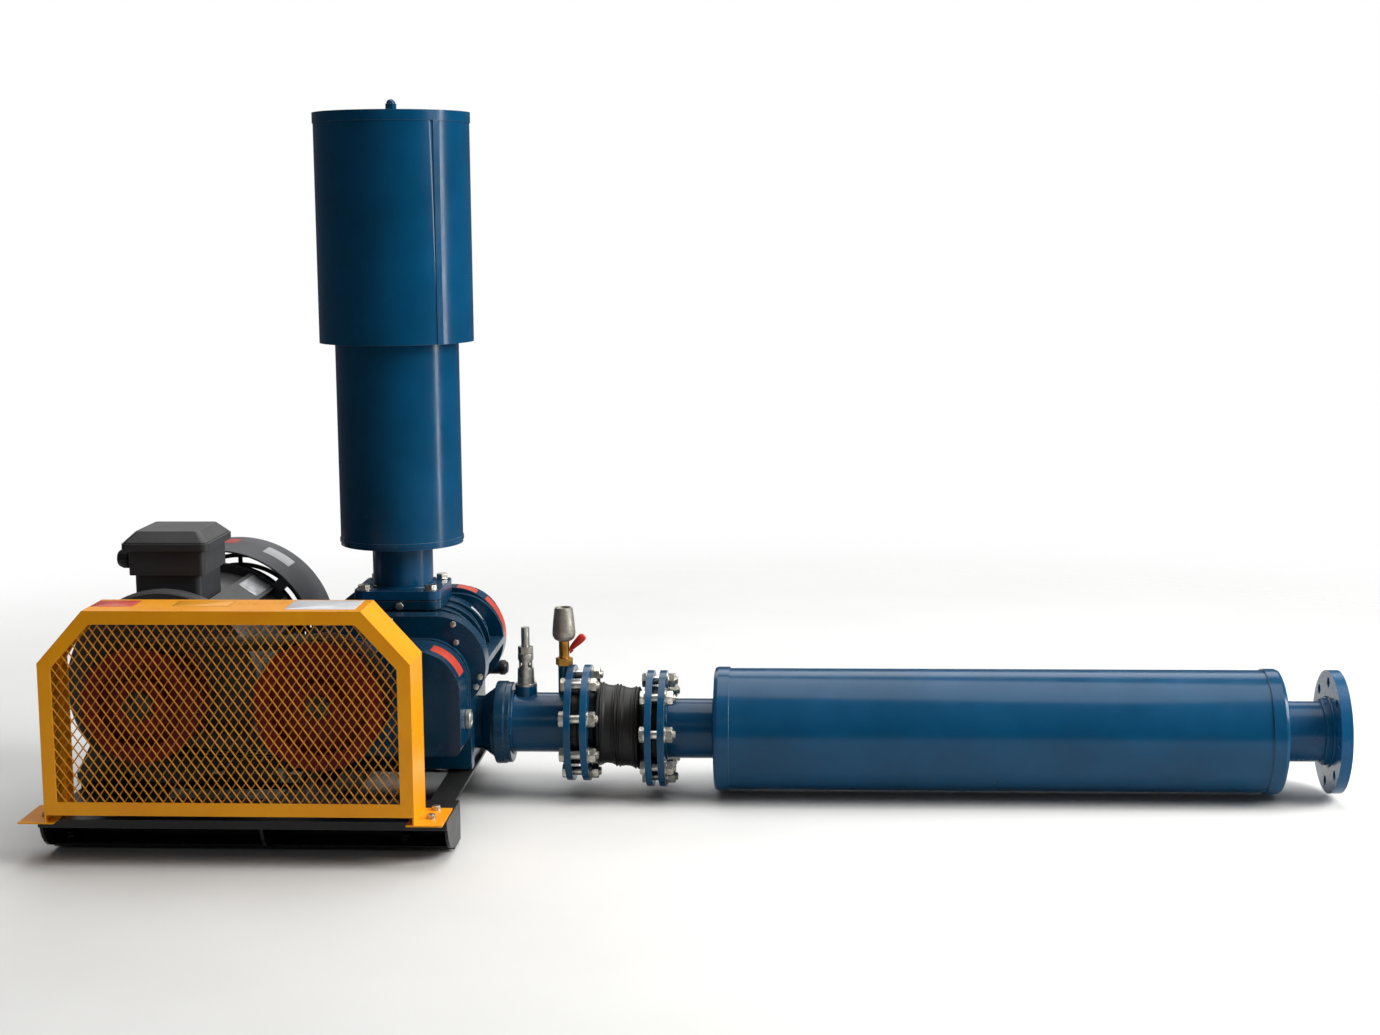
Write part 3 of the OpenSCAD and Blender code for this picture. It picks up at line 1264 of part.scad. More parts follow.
module rubber_joint() color(rubber_black) translate([0, line_y, 0]) {
  x0 = joint_b_x0 - bead_t;
  x1 = joint_c_x1 + bead_t;
  mid_x = (joint_b_x1 + joint_c_x0) / 2;
  half = rubber_len / 2 - 8;
  left_z = line_z;
  right_z = line_z - line_drop;
  difference() {
    union() {
      translate([0, 0, left_z]) {
        x_rod(bead_r, x0, joint_b_x0);
        x_rod(rubber_neck_r, joint_b_x0 - eps, joint_b_x1 + 14);
      }
      translate([0, 0, right_z]) {
        x_rod(bead_r, joint_c_x1, x1);
        x_rod(rubber_neck_r, joint_c_x0 - 14, joint_c_x1 + eps);
      }
      translate([mid_x, 0, (left_z + right_z) / 2]) rotate([0, rubber_lean, 0]) turned_x(concat(
        [[rubber_neck_r - 3, -half], [rubber_neck_r + 3, -half], [rubber_r - 3, 4 - half], [rubber_r, 9 - half]],
        [for (x = [-half + 18, -2, half - 16], p = [[0, -5], [3, -3], [3, 3], [0, 5]]) [rubber_r + p[0], x + p[1]]],
        [[rubber_r, half - 8], [rubber_r - 4, half - 3], [rubber_neck_r + 3, half], [rubber_neck_r - 3, half]]));
    }
    translate([0, 0, left_z]) x_rod(pipe_bore_r, x0 - 1, joint_b_x1 + 8);
    translate([0, 0, right_z]) x_rod(pipe_bore_r, joint_c_x0 - 8, x1 + 1);
    translate([mid_x, 0, (left_z + right_z) / 2]) rotate([0, rubber_lean, 0])
      x_rod(pipe_bore_r + 2, -rubber_len / 2, rubber_len / 2);
  }
}

module joint_flanges() color(machine_blue) {
  at_line() line_flange(joint_b_x0, joint_flange_t, joint_flange_d, rubber_neck_r + 0.1, joint_pcd, joint_bolt_n, joint_turns[0]);
  at_silencer() line_flange(joint_c_x0, joint_flange_t, joint_flange_d, rubber_neck_r + 0.1, joint_pcd, joint_bolt_n, joint_turns[1]);
}

module joint_bolts() color(zinc) {
  starts = [joint_a_x0, joint_c_x0];
  grips = [joint_b_x1 - joint_a_x0, joint_d_x1 - joint_c_x0];
  drops = [0, line_drop];
  for (j = [0, 1], i = [0:joint_bolt_n - 1])
    translate([0, line_y, line_z - drops[j]]) rotate([joint_turns[j] + i * 360 / joint_bolt_n, 0, 0])
      translate([starts[j], 0, joint_pcd / 2]) rotate([0, 90, 0])
        bolt_and_nut(joint_bolt_d, joint_bolt_d * 1.5, grips[j]);
}

// Discharge silencer: welded drum with dished ends round a perforated core.
drum_x0 = joint_d_x1 + stub_in_len;
drum_x1 = drum_x0 + silencer_len;
end_x1 = drum_x1 + stub_out_len + end_flange_t;

module silencer_shell() color(machine_blue) at_silencer() turned_x([
  [pipe_r, drum_x0], [cap_d / 2 - 6, drum_x0], [cap_d / 2 - 2, drum_x0 + 2], [cap_d / 2, drum_x0 + 7],
  [cap_d / 2, drum_x0 + cap_w], [silencer_d / 2, drum_x0 + cap_w],
  [silencer_d / 2, drum_x1 - cap_w], [cap_d / 2, drum_x1 - cap_w],
  [cap_d / 2, drum_x1 - 7], [cap_d / 2 - 2, drum_x1 - 2], [cap_d / 2 - 6, drum_x1], [pipe_r, drum_x1],
  [pipe_r, drum_x1 - 5], [silencer_d / 2 - 6, drum_x1 - 7],
  [silencer_d / 2 - 6, drum_x0 + 7], [pipe_r, drum_x0 + 5]]);

// Perforated core tube, with rows of holes staggered from ring to ring.
module silencer_core() color(bare_steel) at_silencer() difference() {
  x_rod(pipe_r, drum_x0 + 40, drum_x1 - 40);
  x_rod(pipe_r - core_wall, drum_x0, drum_x1);
  for (k = [0:5], a = [0:60:120]) translate([drum_x0 + 130 + k * (silencer_len - 260) / 5, 0, 0])
    rotate([a + (k % 2) * 30, 0, 0]) cylinder(r = 9, h = pipe_d + 2, center = true, $fn = 16);
}

module silencer_inlet() color(machine_blue) at_silencer() {
  difference() {
    x_rod(pipe_r, joint_d_x0, drum_x0 + 40, $fn = 96);
    x_rod(pipe_bore_r, joint_d_x0 - 1, drum_x0 + 41, $fn = 96);
  }
  line_flange(joint_d_x0, joint_flange_t, joint_flange_d, pipe_r - 1, joint_pcd, joint_bolt_n, joint_turns[1]);
}

module silencer_outlet() color(machine_blue) at_silencer() {
  difference() {
    union() {
      x_rod(pipe_r, drum_x1 - 40, end_x1, $fn = 96);
      x_rod(pipe_r + 6, end_x1 - end_flange_t - 12, end_x1 - end_flange_t);
    }
    x_rod(pipe_bore_r, drum_x1 - 41, end_x1 + 1, $fn = 96);
  }
  line_flange(end_x1 - end_flange_t, end_flange_t, end_flange_d, pipe_r - 1, end_pcd, end_bolt_n, 0);
}

// Relief valve on the outlet pipe: body with side windows, adjuster, spring and lifting disc.
relief_body_h = 32;
relief_neck_h = 15;
relief_ring_h = 12;
relief_floor_t = 3;
relief_disc_t = 4;
relief_wire_r = 1;
relief_neck_z = relief_seat_z + relief_body_h;
relief_ring_z = relief_neck_z + relief_neck_h;
adjuster_z = relief_neck_z + 9;
adjuster_r = 7.3;

module relief_valve_body() color(bare_steel) translate([relief_x, line_y, 0]) {
  difference() {
    union() {
      translate([0, 0, relief_seat_z]) cylinder(r = 19.5, h = 4);
      translate([0, 0, relief_seat_z]) cylinder(r1 = 16, r2 = 14.6, h = relief_body_h);
      translate([0, 0, relief_neck_z - eps]) cylinder(r = 12.4, h = relief_neck_h + 2 * eps);
      translate([0, 0, relief_ring_z]) cylinder(r = 13.7, h = relief_ring_h);
    }
    translate([0, 0, relief_seat_z - 1]) cylinder(r = 8, h = relief_floor_t + 1);
    translate([0, 0, relief_seat_z + relief_floor_t]) cylinder(r = 12, h = relief_body_h - 6);
    translate([0, 0, relief_neck_z - 4]) cylinder(r = 9.4, h = relief_neck_h + 4);
    translate([0, 0, relief_ring_z - 1]) cylinder(r = adjuster_r, h = relief_ring_h + 2);
    for (a = [45, 135]) rotate(a) translate([-20, -4, relief_neck_z + 3]) cube([40, 8, 8]);
  }
  translate([0, 0, relief_ring_z + relief_ring_h]) hex_block(24, 13);
  difference() {
    translate([0, 0, adjuster_z]) cylinder(r = adjuster_r, h = relief_seat_z + 107 - adjuster_z);
    translate([0, 0, adjuster_z - 1]) cylinder(r = stem_r + 0.1, h = 20);
  }
}

stem_r = 3;

module relief_valve_disc() color(brass) translate([relief_x, line_y, relief_seat_z + relief_floor_t]) {
  cylinder(r = 11, h = relief_disc_t);
  cylinder(r = stem_r, h = adjuster_z - relief_seat_z + 6);
}

// Spring from the disc to the adjuster, a coil swept along a helix.
module relief_valve_spring() color(zinc) translate([relief_x, line_y, 0]) {
  z0 = relief_seat_z + relief_floor_t + relief_disc_t + 0.3;
  z1 = adjuster_z - 0.3;
  turns = 7;
  steps = turns * 12;
  sides = 6;
  points = [for (i = [0:steps], s = [0:sides - 1])
    let (a = i * 30, w = s * 360 / sides,
         r = 5.6 + relief_wire_r * cos(w),
         z = z0 + relief_wire_r + (z1 - z0 - 2 * relief_wire_r) * i / steps + relief_wire_r * sin(w))
    [r * cos(a), r * sin(a), z]];
  faces = concat(
    [[for (s = [0:sides - 1]) s]],
    [[for (s = [0:sides - 1]) steps * sides + sides - 1 - s]],
    [for (i = [0:steps - 1], s = [0:sides - 1])
      [i * sides + s, (i + 1) * sides + s, (i + 1) * sides + (s + 1) % sides, i * sides + (s + 1) % sides]]);
  polyhedron(points, faces);
}

// Vent valve: a small ball valve on a nipple, with a bell silencer on top.
vent_hex_h = 13;
vent_body_h = 32;
vent_ball_z = vent_z0 + vent_hex_h + 15;
vent_r = 9.5;
vent_ball_r = vent_ball_d / 2;

module vent_valve_body() color(brass) translate([vent_x, line_y, 0]) difference() {
  union() {
    translate([0, 0, vent_z0]) hex_block(27, vent_hex_h);
    translate([0, 0, vent_z0 + vent_hex_h - eps]) cylinder(r = vent_r, h = vent_body_h);
  }
  translate([0, 0, vent_z0 - 1]) cylinder(r = 4, h = vent_hex_h + vent_body_h + 2);
  translate([0, 0, vent_z0 + vent_hex_h + vent_body_h - 6]) cylinder(r = 7.5, h = 7);
  translate([0, 0, vent_ball_z]) sphere(vent_ball_r + 0.3, $fn = 36);
  translate([0, 0, vent_ball_z]) x_rod(2.5 + shaft_gap, 0, 12);
}

module vent_valve_lever() color("#b3261c") translate([vent_x, line_y, vent_ball_z]) {
  difference() {
    sphere(vent_ball_r, $fn = 36);
    translate([0, 0, -10]) cylinder(r = 4, h = 20);
  }
  x_rod(2.5, vent_ball_r - 1.5, vent_r + 6);
  translate([vent_r + 1, -5, -6]) cube([3, 10, 12]);
  translate([vent_r + 1, -4.6, 2]) rotate([0, 45, 0]) cube([3, 9.2, 34]);
  x_rod(4, vent_r + 4, vent_r + 7);
}

// Bell: flat top, widest low down, rounded in at the bottom.
module vent_silencer() color(bare_steel) translate([vent_x, line_y, vent_z0 + vent_hex_h + vent_body_h])
  rotate_extrude($fn = 48) polygon([
    [4, -6], [7.5, -6], [7.5, 0], [13, 0], [18, 3.5], [20.6, 9], [21, 15], [20.4, 24], [18.6, 42], [16.8, 57],
    [15.6, 60.5], [13, 61], [12, 56], [6, 55], [6, 4], [4, 2]]);

skid_frame();
levelling_bolts();
motor_slide_rails();
guard_frame();
guard_mesh();
guard_screws();
motor_frame();
motor_drive_shield();
motor_rear_shield();
motor_cowl();
motor_stator();
motor_bearings();
terminal_box();
terminal_lid();
cable_gland();
motor_foot_bolts();
motor_rotor();
motor_fan();
motor_pulley();
v_belts();
blower_pulley();
rotor_casing();
front_end_plate();
rear_end_plate();
front_oil_cover();
rear_gear_case();
blower_bearings();
shaft_seals();
casing_bolts();
oil_sight_glasses();
oil_plugs();
drive_rotor();
driven_rotor();
drive_gear();
driven_gear();
flange_gaskets();
intake_drum();
intake_hood();
intake_lid();
intake_filter();
intake_tie_rod();
intake_flange_bolts();
outlet_spool();
outlet_union();
outlet_pipe();
check_valve_ring();
check_valve_flap();
rubber_joint();
joint_flanges();
joint_bolts();
silencer_shell();
silencer_core();
silencer_inlet();
silencer_outlet();
relief_valve_body();
relief_valve_disc();
relief_valve_spring();
vent_valve_body();
vent_valve_lever();
vent_silencer();
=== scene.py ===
"""Looks of a roots blower set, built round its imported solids.

Metres, +Z up, in the solids' own frame. The solids keep their shapes and get the finishes of
the real set. New pieces are grids of points worked out with numpy.
"""

import math

import bmesh
import bpy
import numpy as np
from mathutils import Matrix, Vector


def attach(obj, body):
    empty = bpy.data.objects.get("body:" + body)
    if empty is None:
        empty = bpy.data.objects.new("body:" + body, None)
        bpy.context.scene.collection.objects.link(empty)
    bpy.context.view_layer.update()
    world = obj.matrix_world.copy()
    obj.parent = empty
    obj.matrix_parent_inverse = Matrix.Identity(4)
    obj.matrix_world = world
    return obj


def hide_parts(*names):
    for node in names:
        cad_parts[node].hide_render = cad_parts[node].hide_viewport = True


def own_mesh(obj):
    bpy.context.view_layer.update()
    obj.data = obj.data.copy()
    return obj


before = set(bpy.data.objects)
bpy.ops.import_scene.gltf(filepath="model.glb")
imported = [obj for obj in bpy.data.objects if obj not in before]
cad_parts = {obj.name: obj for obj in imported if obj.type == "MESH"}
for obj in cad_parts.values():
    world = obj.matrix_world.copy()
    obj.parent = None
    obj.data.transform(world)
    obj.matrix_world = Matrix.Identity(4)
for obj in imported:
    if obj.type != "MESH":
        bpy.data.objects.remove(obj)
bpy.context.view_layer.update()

MM = 0.001
PI = math.pi
X, Y, Z = np.eye(3)

# Places in the solids' frame, in millimetres
LINE_Y = 130.5  # middle of the blower, the intake and the discharge line
LINE_Z = 130  # pipe between the blower and the rubber joint
SILENCER_Z = 120
BLOWER_X = 190.5  # middle of the blower and of the intake
SHAFT_Z = 264  # shafts of the motor and of both rotors
MOTOR_X = -158
RELIEF_X = 410.5
GUARD_TOP_Z = 424


# Colours and nodes

def linear(code):
    """sRGB hex to linear: c / 12.92 below 0.04045, else ((c + 0.055) / 1.055) to the power 2.4."""
    c = np.array([int(code[i:i + 2], 16) for i in (1, 3, 5)]) / 255
    c = np.where(c <= 0.04045, c / 12.92, ((c + 0.055) / 1.055) ** 2.4)
    return (*c.tolist(), 1.0)


def add(material, kind, inputs=None, stops=(), **settings):
    """Adds a node with its settings. inputs gives sockets a value, or a link where it is a socket;
    stops are a ramp's (place, colour) pairs in rising order."""
    made = material.node_tree.nodes.new("ShaderNode" + kind)
    for key, value in settings.items():
        setattr(made, key, value)
    for key, value in (inputs or {}).items():
        if isinstance(value, bpy.types.NodeSocket):
            material.node_tree.links.new(value, made.inputs[key])
        else:
            made.inputs[key].default_value = value
    for i, (place, colour) in enumerate(stops):
        row = made.color_ramp.elements
        stop = row[i] if i < len(row) else row.new(place)
        stop.position, stop.color = place, colour
    return made


def blank(name):
    """A new material with nothing in it but its output."""
    material = bpy.data.materials.new(name)
    material.use_nodes = True
    material.node_tree.nodes.clear()
    return material


def close(material, shader):
    """Links the shader to the material's output."""
    add(material, "OutputMaterial", {"Surface": shader.outputs["BSDF"]})
    return material


def noise(m, where, size_mm, detail, roughness=0.5):
    """Noise with features of about size_mm."""
    return add(m, "TexNoise", {"Vector": where, "Scale": 1 / (size_mm * MM), "Detail": detail,
                               "Roughness": roughness}).outputs["Fac"]


def tones(m, share, deep, colour, low, high):
    """Colour that runs from deep to colour while the share rises from low to high."""
    return add(m, "ValToRGB", {"Fac": share},
               stops=[(low, linear(deep)), (high, linear(colour))]).outputs["Color"]


def remap(m, value, low, high, out_low, out_high):
    """Maps low to high onto out_low to out_high."""
    return add(m, "MapRange", {0: value, 1: low, 2: high, 3: out_low, 4: out_high}).outputs[0]


def times(m, a, b, **settings):
    """Product of two values."""
    return add(m, "Math", {0: a, 1: b}, operation="MULTIPLY", **settings).outputs[0]


def blend(m, share, low, high):
    """Mix of two colours. The node's sockets for colours are 6 and 7, and 2 on its far side."""
    return add(m, "Mix", {0: share, 6: low, 7: high}, data_type="RGBA").outputs[2]


def rounded(m, radius_mm):
    """Normals that round the edges off by radius_mm."""
    return add(m, "Bevel", {"Radius": radius_mm * MM}, samples=4).outputs["Normal"]


def relief(m, height, deep_mm, normal):
    """Bump of a stated depth, laid over a normal."""
    return add(m, "Bump", {"Height": height, "Distance": deep_mm * MM, "Strength": 1.0,
                           "Normal": normal}).outputs["Normal"]


def enamel(name, colour, deep, peel_mm, peel_deep_mm, rough, cast_mm=0, cast_deep_mm=0.0,
           edge="#e8eef2", edge_share=0.12, dust=0.03, coat=0.05):
    """Air-dried gloss enamel: orange peel of a stated size, a slow drift of tone, thin and paler
    paint along edges, dust on what faces up, and sand-cast skin under it on a casting."""
    m = blank(name)
    where = add(m, "TexCoord").outputs["Object"]
    drift = noise(m, where, 1000 / 9, 4.0, 0.6)
    tone = tones(m, drift, deep, colour, 0.3, 0.72)
    soft = rounded(m, 1.2)
    flat = add(m, "NewGeometry").outputs["Normal"]
    # The two normals part company only near an edge, where their product falls below one.
    turn = add(m, "VectorMath", {0: soft, 1: flat}, operation="DOT_PRODUCT").outputs["Value"]
    fray = noise(m, where, 7, 3.0)
    bend = remap(m, turn, 0.985, 0.8, 0.0, edge_share * 2)
    paint = blend(m, times(m, bend, fray), tone, linear(edge))
    up = add(m, "SeparateXYZ", {0: flat}).outputs["Z"]
    lie = times(m, times(m, up, drift), dust * 2, use_clamp=True)
    dusty = blend(m, lie, paint, linear("#8f8c84"))
    smear = noise(m, where, 60, 5.0, 0.7)
    gloss = remap(m, smear, 0.3, 0.75, rough, rough + 0.12)
    bump = relief(m, noise(m, where, peel_mm, 1.5), peel_deep_mm, soft)
    if cast_mm:
        bump = relief(m, noise(m, where, cast_mm, 3.0, 0.55), cast_deep_mm, bump)
    return close(m, add(m, "BsdfPrincipled", {
        "Base Color": dusty, "Roughness": gloss, "IOR": 1.3, "Normal": bump,
        "Coat Weight": coat, "Coat Roughness": 0.06}))


def metal(name, colour, deep, rough, grain_mm, stretch, grain_deep_mm):
    """Bare or plated metal: tool marks of a stated width, stretched along one axis, with duller
    patches where hands and oil have been."""
    m = blank(name)
    where = add(m, "TexCoord").outputs["Object"]
    laid = add(m, "Mapping", {"Vector": where, "Scale": stretch}).outputs[0]
    marks = noise(m, laid, grain_mm, 4.0)
    patch = noise(m, where, 14, 4.0, 0.65)
    tone = tones(m, patch, deep, colour, 0.3, 0.65)
    gloss = remap(m, patch, 0.3, 0.7, rough + 0.25, rough)
    bump = relief(m, marks, grain_deep_mm, rounded(m, 0.5))
    return close(m, add(m, "BsdfPrincipled", {
        "Base Color": tone, "Metallic": 1.0, "Roughness": gloss, "Normal": bump}))


def moulded(name, colour, deep, rough, grain_mm, grain_deep_mm, dust=0.08):
    """Moulded rubber or plastic: fine skin grain, slow tone drift and a dusty bloom on top."""
    m = blank(name)
    where = add(m, "TexCoord").outputs["Object"]
    drift = noise(m, where, 35, 5.0, 0.6)
    tone = tones(m, drift, deep, colour, 0.32, 0.7)
    flat = add(m, "NewGeometry").outputs["Normal"]
    up = add(m, "SeparateXYZ", {0: flat}).outputs["Z"]
    dusty = blend(m, times(m, up, dust, use_clamp=True), tone, linear("#8a867d"))
    grain = noise(m, where, grain_mm, 2.0)
    bump = relief(m, grain, grain_deep_mm, rounded(m, 0.6))
    return close(m, add(m, "BsdfPrincipled", {
        "Base Color": dusty, "Roughness": rough, "IOR": 1.36, "Normal": bump}))


# Finishes of this set

# Rolled sheet under blue enamel: smooth, with a wet look and long soft highlights.
blue_sheet = enamel("blue_enamel_on_sheet", "#01456a", "#013b5b", 2.2, 0.010, 0.16)
# The same enamel on grey iron: the sand skin shows through, so highlights break up.
blue_casting = enamel("blue_enamel_on_cast_iron", "#013752", "#012c43", 2.0, 0.02, 0.2,
                      cast_mm=5.5, cast_deep_mm=0.16)
# The flanges' plates: the same enamel, a little lighter.
blue_flange = enamel("blue_enamel_on_flange_plate", "#034c74", "#023f62", 2.0, 0.015, 0.2)
# Stoved yellow on folded sheet: even, a little orange peel, paler at the bends.
yellow_sheet = enamel("yellow_enamel_on_sheet", "#f5a302", "#ea9501", 1.6, 0.012, 0.26,
                      edge="#ffd76a", edge_share=0.3, dust=0.04)
# Mesh dipped in the same yellow, so it is thicker and duller at the crossings.
yellow_mesh = enamel("yellow_enamel_on_mesh", "#dc9202", "#b87501", 1.5, 0.03, 0.34, dust=0.02)
# Grey stove enamel on a cast motor frame.
grey_casting = enamel("grey_enamel_on_cast_iron", "#3b3c3f", "#303134", 2.0, 0.02, 0.36,
                      cast_mm=4.0, cast_deep_mm=0.12, dust=0.12, coat=0.1)
# The same grey on the spun cowl, smoother and a little lighter.
grey_sheet = enamel("grey_enamel_on_spun_sheet", "#57585c", "#4a4b4f", 1.8, 0.012, 0.34,
                    dust=0.1, coat=0.1)
# Black chassis paint on hot rolled plate.
black_plate = enamel("black_paint_on_plate", "#141416", "#0c0c0e", 2.5, 0.02, 0.3,
                     dust=0.05, coat=0.15)
# Dark red primer on grey iron pulleys, nearly matt.
red_primer = enamel("red_primer_on_cast_iron", "#7a1710", "#5c100c", 2.0, 0.03, 0.5,
                    cast_mm=3.0, cast_deep_mm=0.08, coat=0.0)
# Turned steel: rings of tool marks too fine to count, drawn at 0.5 mm so that they show.
turned_steel = metal("turned_steel", "#c4c3bd", "#8f8e88", 0.26, 0.5, (1, 6, 1), 0.01)
# Shafts left oiled behind the guard, and the ring clamped in the first joint: dull and dark.
oiled_steel = metal("oiled_dark_steel", "#4d4a46", "#2c2a28", 0.4, 0.6, (1, 6, 1), 0.01)
# Zinc plate on steel fasteners: pale, slightly warm, cloudy.
zinc_plate = metal("zinc_plated_steel", "#d4d1c8", "#9b978c", 0.24, 0.7, (1, 1, 1), 0.008)
# Brass bar, turned.
turned_brass = metal("turned_brass", "#c08f45", "#8a6228", 0.28, 0.5, (1, 1, 5), 0.008)
# Sintered steel shell of the vent's bell, bead blasted.
blasted_steel = metal("bead_blasted_steel", "#a9a69d", "#83807a", 0.42, 0.6, (1, 1, 1), 0.03)
# Moulded neoprene: black, semi-matt, with a bloom.
neoprene = moulded("moulded_neoprene", "#0e0f10", "#08090a", 0.46, 0.9, 0.02)
# Fabric-wrapped belt rubber.
belt_rubber = moulded("wrapped_belt_rubber", "#1b1a19", "#0f0f0f", 0.72, 1.2, 0.08)
# Glass-filled nylon of the gland and the fan.
black_nylon = moulded("black_nylon", "#19191b", "#111112", 0.42, 0.8, 0.012)
# Dipped vinyl sleeve on the vent's lever.
red_vinyl = moulded("red_vinyl_sleeve", "#c0241a", "#9c1b12", 0.35, 1.0, 0.01, dust=0.03)
# Felt filter, undyed.
felt = moulded("pleated_felt", "#d9cfa8", "#c4b88c", 0.9, 0.8, 0.2, dust=0.0)
# Varnished windings and laminations.
varnished = moulded("varnished_windings", "#8b5a34", "#6c3f1e", 0.4, 1.4, 0.2, dust=0.0)
# Blank vinyl stickers, and the brown edge of the yellow one, with nothing on them.
red_sticker = moulded("blank_red_vinyl", "#c24634", "#b53c2b", 0.38, 3.0, 0.004, dust=0.0)
silver_sticker = moulded("blank_silver_vinyl", "#cfd0d2", "#c2c3c6", 0.34, 3.0, 0.004, dust=0.0)
yellow_sticker = moulded("blank_yellow_vinyl", "#e39a12", "#d98f0a", 0.34, 3.0, 0.004, dust=0.0)
brown_border = moulded("brown_sticker_border", "#5c3a06", "#4c3005", 0.4, 3.0, 0.004, dust=0.0)
# Etched aluminium plate, left blank.
blank_plate = metal("blank_aluminium_plate", "#b9babd", "#97989b", 0.34, 0.6, (1, 4, 1), 0.006)


def sight_glass_material():
    """Borosilicate disc over oil: clear with a faint straw tone."""
    m = blank("sight_glass")
    shader = add(m, "BsdfPrincipled", {
        "Base Color": linear("#d8dcc8"), "Roughness": 0.05, "IOR": 1.47,
        "Transmission Weight": 0.55, "Coat Weight": 0.5})
    return close(m, shader)


clear_glass = sight_glass_material()

FINISH = {
    blue_sheet: "intake_drum intake_hood intake_lid outlet_pipe silencer_shell silencer_inlet "
                "intake_tie_rod",
    blue_casting: "rotor_casing front_end_plate rear_end_plate front_oil_cover rear_gear_case "
                  "outlet_spool outlet_union",
    blue_flange: "joint_flanges silencer_outlet",
    yellow_sheet: "guard_frame",
    yellow_mesh: "guard_mesh",
    grey_casting: "motor_frame motor_drive_shield motor_rear_shield terminal_box terminal_lid",
    grey_sheet: "motor_cowl",
    black_plate: "skid_frame levelling_bolts motor_slide_rails",
    red_primer: "motor_pulley blower_pulley",
    turned_steel: "motor_bearings blower_bearings drive_gear driven_gear check_valve_flap "
                  "silencer_core relief_valve_body oil_sight_glasses",
    oiled_steel: "motor_rotor drive_rotor driven_rotor check_valve_ring",
    zinc_plate: "guard_screws motor_foot_bolts casing_bolts intake_flange_bolts joint_bolts "
                "relief_valve_spring",
    turned_brass: "relief_valve_disc vent_valve_body oil_plugs",
    blasted_steel: "vent_silencer",
    neoprene: "rubber_joint flange_gaskets shaft_seals",
    belt_rubber: "v_belts",
    black_nylon: "motor_fan cable_gland",
    red_vinyl: "vent_valve_lever",
    felt: "intake_filter",
    varnished: "motor_stator",
}
for finish, names in FINISH.items():
    for name in names.split():
        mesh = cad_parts[name].data
        if not mesh.materials:
            mesh.materials.append(finish)
        for i in range(len(mesh.materials)):
            mesh.materials[i] = finish


# Making pieces

def grid_faces(rows, cols, wrap_rows=False, wrap_cols=True):
    """Four corners of each cell of a grid whose points are numbered row by row; a wrapped
    direction joins its last line to its first."""
    i = np.arange(rows if wrap_rows else rows - 1)[:, None]
    j = np.arange(cols if wrap_cols else cols - 1)[None, :]
    i1, j1 = (i + 1) % rows, (j + 1) % cols
    return np.stack([i * cols + j, i * cols + j1, i1 * cols + j1, i1 * cols + j], -1).reshape(-1, 4)


def piece(name, points, faces, material, body="skid", slot=None, smooth=True, stands_for=()):
    """One mesh object at the origin. Doubled points are merged, so poles and seams close, and
    faces are turned outwards."""
    mesh = bpy.data.meshes.new(name)
    corners = np.asarray(points, float).reshape(-1, 3).tolist()
    mesh.from_pydata(corners, [], np.asarray(faces).tolist())
    form = bmesh.new()
    form.from_mesh(mesh)
    bmesh.ops.remove_doubles(form, verts=form.verts, dist=2e-6)
    bmesh.ops.dissolve_degenerate(form, edges=form.edges, dist=1e-7)
    bmesh.ops.recalc_face_normals(form, faces=form.faces)
    form.to_mesh(mesh)
    form.free()
    mesh.materials.append(material)
    made = bpy.data.objects.new(name, mesh)
    bpy.context.scene.collection.objects.link(made)
    if smooth:
        mesh.shade_smooth()
        mesh.set_sharp_from_angle(angle=math.radians(38))
    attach(made, body)
    if stands_for:
        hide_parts(*stands_for)
    return made


def across(axis):
    """Two unit vectors square to the axis and to each other, right-handed with it."""
    axis = np.asarray(axis, float)
    u = np.cross(axis, Z if abs(axis[2]) < 0.9 else X)
    u /= np.linalg.norm(u)
    return u, np.cross(axis, u)


def turned(rows, origin, axis, cols=48):
    """Points turned round an axis: origin + axis * along + radius * (u cos a + v sin a), where
    each row is (along, radius) and radius may itself be an array over the angle a."""
    u, v = across(axis)
    a = np.arange(cols) * 2 * PI / cols
    ring = np.cos(a)[:, None] * u + np.sin(a)[:, None] * v
    along = np.array([r[0] for r in rows], float)
    radius = np.array([np.broadcast_to(r[1], cols) for r in rows], float)
    return (np.asarray(origin, float) + along[:, None, None] * np.asarray(axis, float)
            + radius[:, :, None] * ring[None])


COLS = 36
ANGLE = np.arange(COLS) * 2 * PI / COLS


def hexagon(width, top_gap=math.inf):
    """Radius of a hexagon over the angle: half the width over the cosine of the angle from the
    nearest flat's middle, cut to the cone that turns its corners off."""
    off = (ANGLE + PI / 6) % (PI / 3) - PI / 6
    return np.minimum(width / 2 / np.cos(off), width / 2 * 0.965 + top_gap * math.tan(PI / 3))


def hex_rows(width, low, high, both=False):
    """Rows of a hexagon head between two heights, its corners turned off at 30 degrees at the
    high end, and at the low end too where both is set."""
    deep = width * 0.075
    rows = [(high - d, hexagon(width, d)) for d in (0, deep * 0.3, deep * 0.65, deep)]
    if both:
        low_rows = [(low + d, hexagon(width, d)) for d in (0, deep * 0.5, deep)]
    else:
        low_rows = [(low, hexagon(width))]
    return low_rows + rows[::-1]


def thread_rows(radius, low, high, pitch, deep):
    """Rows of a screw thread: the radius falls and rises once per pitch, shifted round the
    angle so that the crest climbs as a helix, and the end is turned to a short cone."""
    n = max(8, int((high - low) / pitch * 6))
    rows = []
    for h in np.linspace(low, high, n):
        wave = np.abs(((h / pitch - ANGLE / (2 * PI)) % 1) * 2 - 1)
        end = min(1.0, 0.82 + (high - h) / pitch * 0.18)
        rows.append((h, (radius - deep * wave) * end))
    return rows


